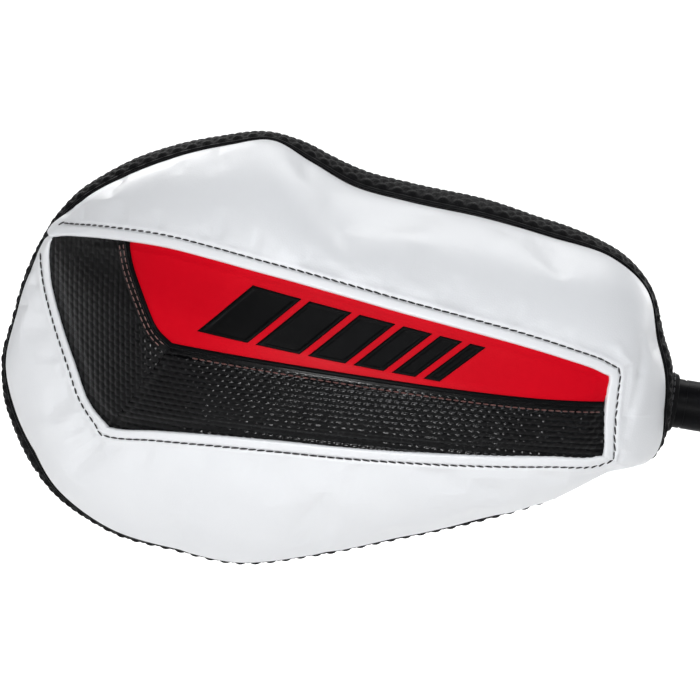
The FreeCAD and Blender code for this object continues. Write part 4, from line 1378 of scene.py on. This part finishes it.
def rounded_patch(name, body, slot, span, y_span, rise, thickness, columns, round_ends=0.0):
    """Patch on the gussets between two rib numbers and two y, rise(t, y) above them."""
    t, y = np.meshgrid(np.linspace(*span, columns), np.linspace(*y_span, 26))
    middle = (y_span[0] + y_span[1]) / 2
    share = (y - middle) / ((y_span[1] - y_span[0]) / 2)
    pull_in = round_ends * share**4
    low_end = smooth(1 - (t - span[0]) / 0.25)
    high_end = smooth(1 - (span[1] - t) / 0.25)
    t = t + pull_in * low_end - pull_in * high_end
    edge = np.minimum(1 - np.abs(share), np.minimum(t - span[0], span[1] - t) * 3.0)
    soft = 0.35 * (1 - smooth(edge / 0.12)) * thickness
    outer = raised(gusset_points, t, y_share(y), rise(t, y) + thickness - soft)
    inner = raised(gusset_points, t, y_share(y), rise(t, y) + soft * 0.4)
    shell_piece(name, outer, inner, slot, body)


def tab_rise(t, y):
    """The tab's underside over the gusset."""
    return 1.9 + 0.12 * np.sin(t * 5.0) + 0.05 * wobble(t * 17, y, 8.0, 4)


def closure():
    """The hook-and-loop tab across the slit, its two patches, its stitches and its hooks."""
    def hook_rise(t, y):
        return 1.0 + 0 * t

    def loop_rise(t, y):
        return 0.1 + 0.05 * wobble(t * 17, y, 1.6, 3)

    hook_y = (TAB_Y[0] + 1, TAB_Y[1] - 1)
    tab = (TAB_BOTTOM, TAB_TOP)
    hooked = (TAB_BOTTOM + 0.1, PATCH_TOP - 0.05)
    looped = (TAB_BOTTOM, PATCH_TOP)
    rounded_patch("closure_tab", "tab", "tab_webbing", tab, TAB_Y, tab_rise, 1.2, 90, round_ends=0.12)
    rounded_patch("hook_patch", "tab", "hook_tape", hooked, hook_y, hook_rise, 0.65, 50)
    rounded_patch("loop_patch", "guard", "loop_tape", looped, TAB_Y, loop_rise, 0.8, 60)
    low = TAB_Y[0] + TAB_INSET
    high = TAB_Y[1] - TAB_INSET

    def outline(first, last):
        return [(first, low), (first, high), (last, high), (last, low), (first, low)]

    sewn = (TAB_TOP - 0.08, TAB_TOP - 0.75)
    cross = [(sewn[0], low), (sewn[1], high)]
    other = [(sewn[0], high), (sewn[1], low)]
    rows = []
    for corners in (outline(*sewn), cross, other, outline(*hooked)):
        dense = along_share(np.array(corners, float), np.linspace(0, 1, 160))
        rise = tab_rise(dense[:, 0], dense[:, 1]) + 1.28
        rows.append(raised(gusset_points, dense[:, 0], y_share(dense[:, 1]), rise))
    stitching("tab_stitches", rows, GREY_THREAD, "tab", 2.4, 1.8, 0.24)
    hooks = []
    for t in np.linspace(TAB_BOTTOM + 0.16, PATCH_TOP - 0.1, 13):
        for y in np.linspace(hook_y[0] + 0.8, hook_y[1] - 0.8, 9):
            where = np.full(4, t)
            away = y + np.array([0.0, 0.0, 0.25, 0.45])
            line = raised(gusset_points, where, y_share(away), np.array([1.05, 0.72, 0.55, 0.70]))
            hooks.append(tube(line, np.array([0.2, 0.16, 0.14, 0.1]), sides=6))
    points, faces = join_parts(hooks)
    finish_piece(make_mesh("hook_pins", points, faces, LOOKS["hook_tape"]), "tab")


# ---- linings and foam ---------------------------------------------------------------------------
FOAM = 6.5
FOAM_SINK = 1.2
LINING = 0.8
STIFFENER = 2.0
GAP = 0.2
INSERT_BASE = 3.0
FOAM_TOP_END = 14.2
FOAM_SIDE_START = 17.5
LINING_DEPTH = COVER + FOAM + 3 * GAP
LINING_TURN = 3.2        # the lining's edge laps onto the inside of the gusset, over the seam
OVERLAP_DEPTH = 5.4      # brings the covers' linings behind the front lining where they overlap it


def lining_sheet(name, t_low, t_high):
    """Lining of a cover's foam: it bends down to the seam at its outer edge."""
    t, v = np.meshgrid(np.linspace(t_low, t_high, int((t_high - t_low) * 9)), np.linspace(0.0, 1.0, 58))
    ends = smooth((t - t_low) / 0.3) * smooth((t_high - t) / 0.3)
    meet = smooth((v - 0.86) / 0.135)
    depth = LINING_DEPTH * (1 - meet) + 3.4 * meet + OVERLAP_DEPTH * (1 - smooth((v - 0.02) / 0.2))
    wrinkle = 0.35 * wobble(t * 20.0, v * 50.0, 38.0, 11) + 0.15 * wobble(t * 20.0, v * 50.0, 13.0, 8)
    depth = depth + np.clip(0.5 + wrinkle, 0, 1.2) * (1 - meet) * ends
    outer = raised(cover_points, t, v, -depth)
    inner = raised(cover_points, t, v, -depth - LINING)
    turn = LINING_TURN * smooth((v - 0.95) / 0.05)
    outer[..., 1] += turn
    inner[..., 1] += turn
    shell_piece(name, outer, inner, "lining_fabric")


def front_sheet_points(depth_of, inset, columns, rows):
    """Grid across the front wall, and its points at a depth behind the base curve."""
    low = frame_run(BOTTOM_LEFT + 0.3, BOTTOM_RIGHT - 0.2, inset, 90)
    high = frame_run(TOP_LEFT - 0.3, TOP_RIGHT + 0.3, inset, 90)
    x, z = ruled_grid(low, high, columns, rows)
    edge = frame_distance(x, z) - inset
    return np.stack([x, front_y(x) + depth_of(x, z, edge), z], axis=-1)


def linings():
    """The linings of the hand's space: two under the covers and one on the stiffener plate."""
    lining_sheet("lining_upper", BOTTOM_RIGHT - COUNT + 0.02, TOP_LEFT - 0.05)
    lining_sheet("lining_lower", TOP_LEFT - 0.02, BOTTOM_RIGHT - 0.02)
    plate_back = INSERT_BASE + FOAM + 2 * GAP + STIFFENER

    def wrinkled(x, z):
        return np.clip(0.3 + 0.3 * wobble(x, z, 30.0, 12), 0, 0.7)

    def hand_side(x, z, edge):
        return plate_back + LINING + wrinkled(x, z) * smooth(edge / 6.0)

    outer = front_sheet_points(lambda x, z, edge: plate_back + 0 * x, -2.5, 150, 48)
    inner = front_sheet_points(hand_side, -2.5, 150, 48)
    shell_piece("lining_front", outer, inner, "lining_fabric")


FOAM_SPAN = (0.12, 0.94)       # of the way from the frame to the seam
FOAM_CLEAR = 0.04              # ribs between one pad and the next


def foam_strip(name, t_low, t_high):
    """Foam pad under a cover, rounded along its edges."""
    first = t_low + FOAM_CLEAR
    last = t_high - FOAM_CLEAR
    columns = int((t_high - t_low) * 6) + 2
    t, v = np.meshgrid(np.linspace(first, last, columns), np.linspace(*FOAM_SPAN, 26))
    across = np.minimum(v - FOAM_SPAN[0], FOAM_SPAN[1] - v)
    edge = np.minimum(across * 40, np.minimum(t - first, last - t) * 20)
    soft = 1.4 * (1 - smooth(edge / 3.0))
    outer = raised(cover_points, t, v, -(COVER + GAP) - FOAM_SINK - soft)
    inner = raised(cover_points, t, v, -(COVER + GAP + FOAM) + soft * 0.5)
    return shell_piece(name, outer, inner, "foam")


def foams():
    """The pads under the covers, behind the insert and inside it."""
    pads = [
        foam_strip("foam_top", TOP_RIGHT, FOAM_TOP_END),
        foam_strip("foam_outboard", FOAM_SIDE_START, BOTTOM_LEFT),
        foam_strip("foam_bottom", BOTTOM_LEFT, BOTTOM_RIGHT),
        foam_strip("foam_inboard", BOTTOM_RIGHT - COUNT, TOP_RIGHT),
    ]

    def soft(edge):
        return 1.2 * (1 - smooth(edge / 3.0))

    def shaped(x, z, edge):
        return 2.2 - 0.8 * insert_height(x, z) + soft(edge) * 0.3

    front = front_sheet_points(lambda x, z, edge: INSERT_BASE + soft(edge), 4.0, 110, 30)
    back = front_sheet_points(lambda x, z, edge: INSERT_BASE + FOAM - soft(edge) * 0.5, 4.0, 110, 30)
    pads.append(shell_piece("foam_front", front, back, "foam"))
    domed = front_sheet_points(shaped, 4.0, 140, 44)
    flat = front_sheet_points(lambda x, z, edge: INSERT_BASE - GAP + 0 * x, 4.0, 140, 44)
    pads.append(shell_piece("insert_foam", domed, flat, "foam"))


def main():
    """Builds every piece."""
    place_camera()
    light_studio()
    studio_sweep()
    finish_hard_parts()
    covers()
    insert_panels()
    ridge_trim()
    emblem()
    gussets()
    seam_piping()
    opening_binding()
    bar_cuff()
    closure()
    linings()
    foams()
    bpy.context.view_layer.update()


main()
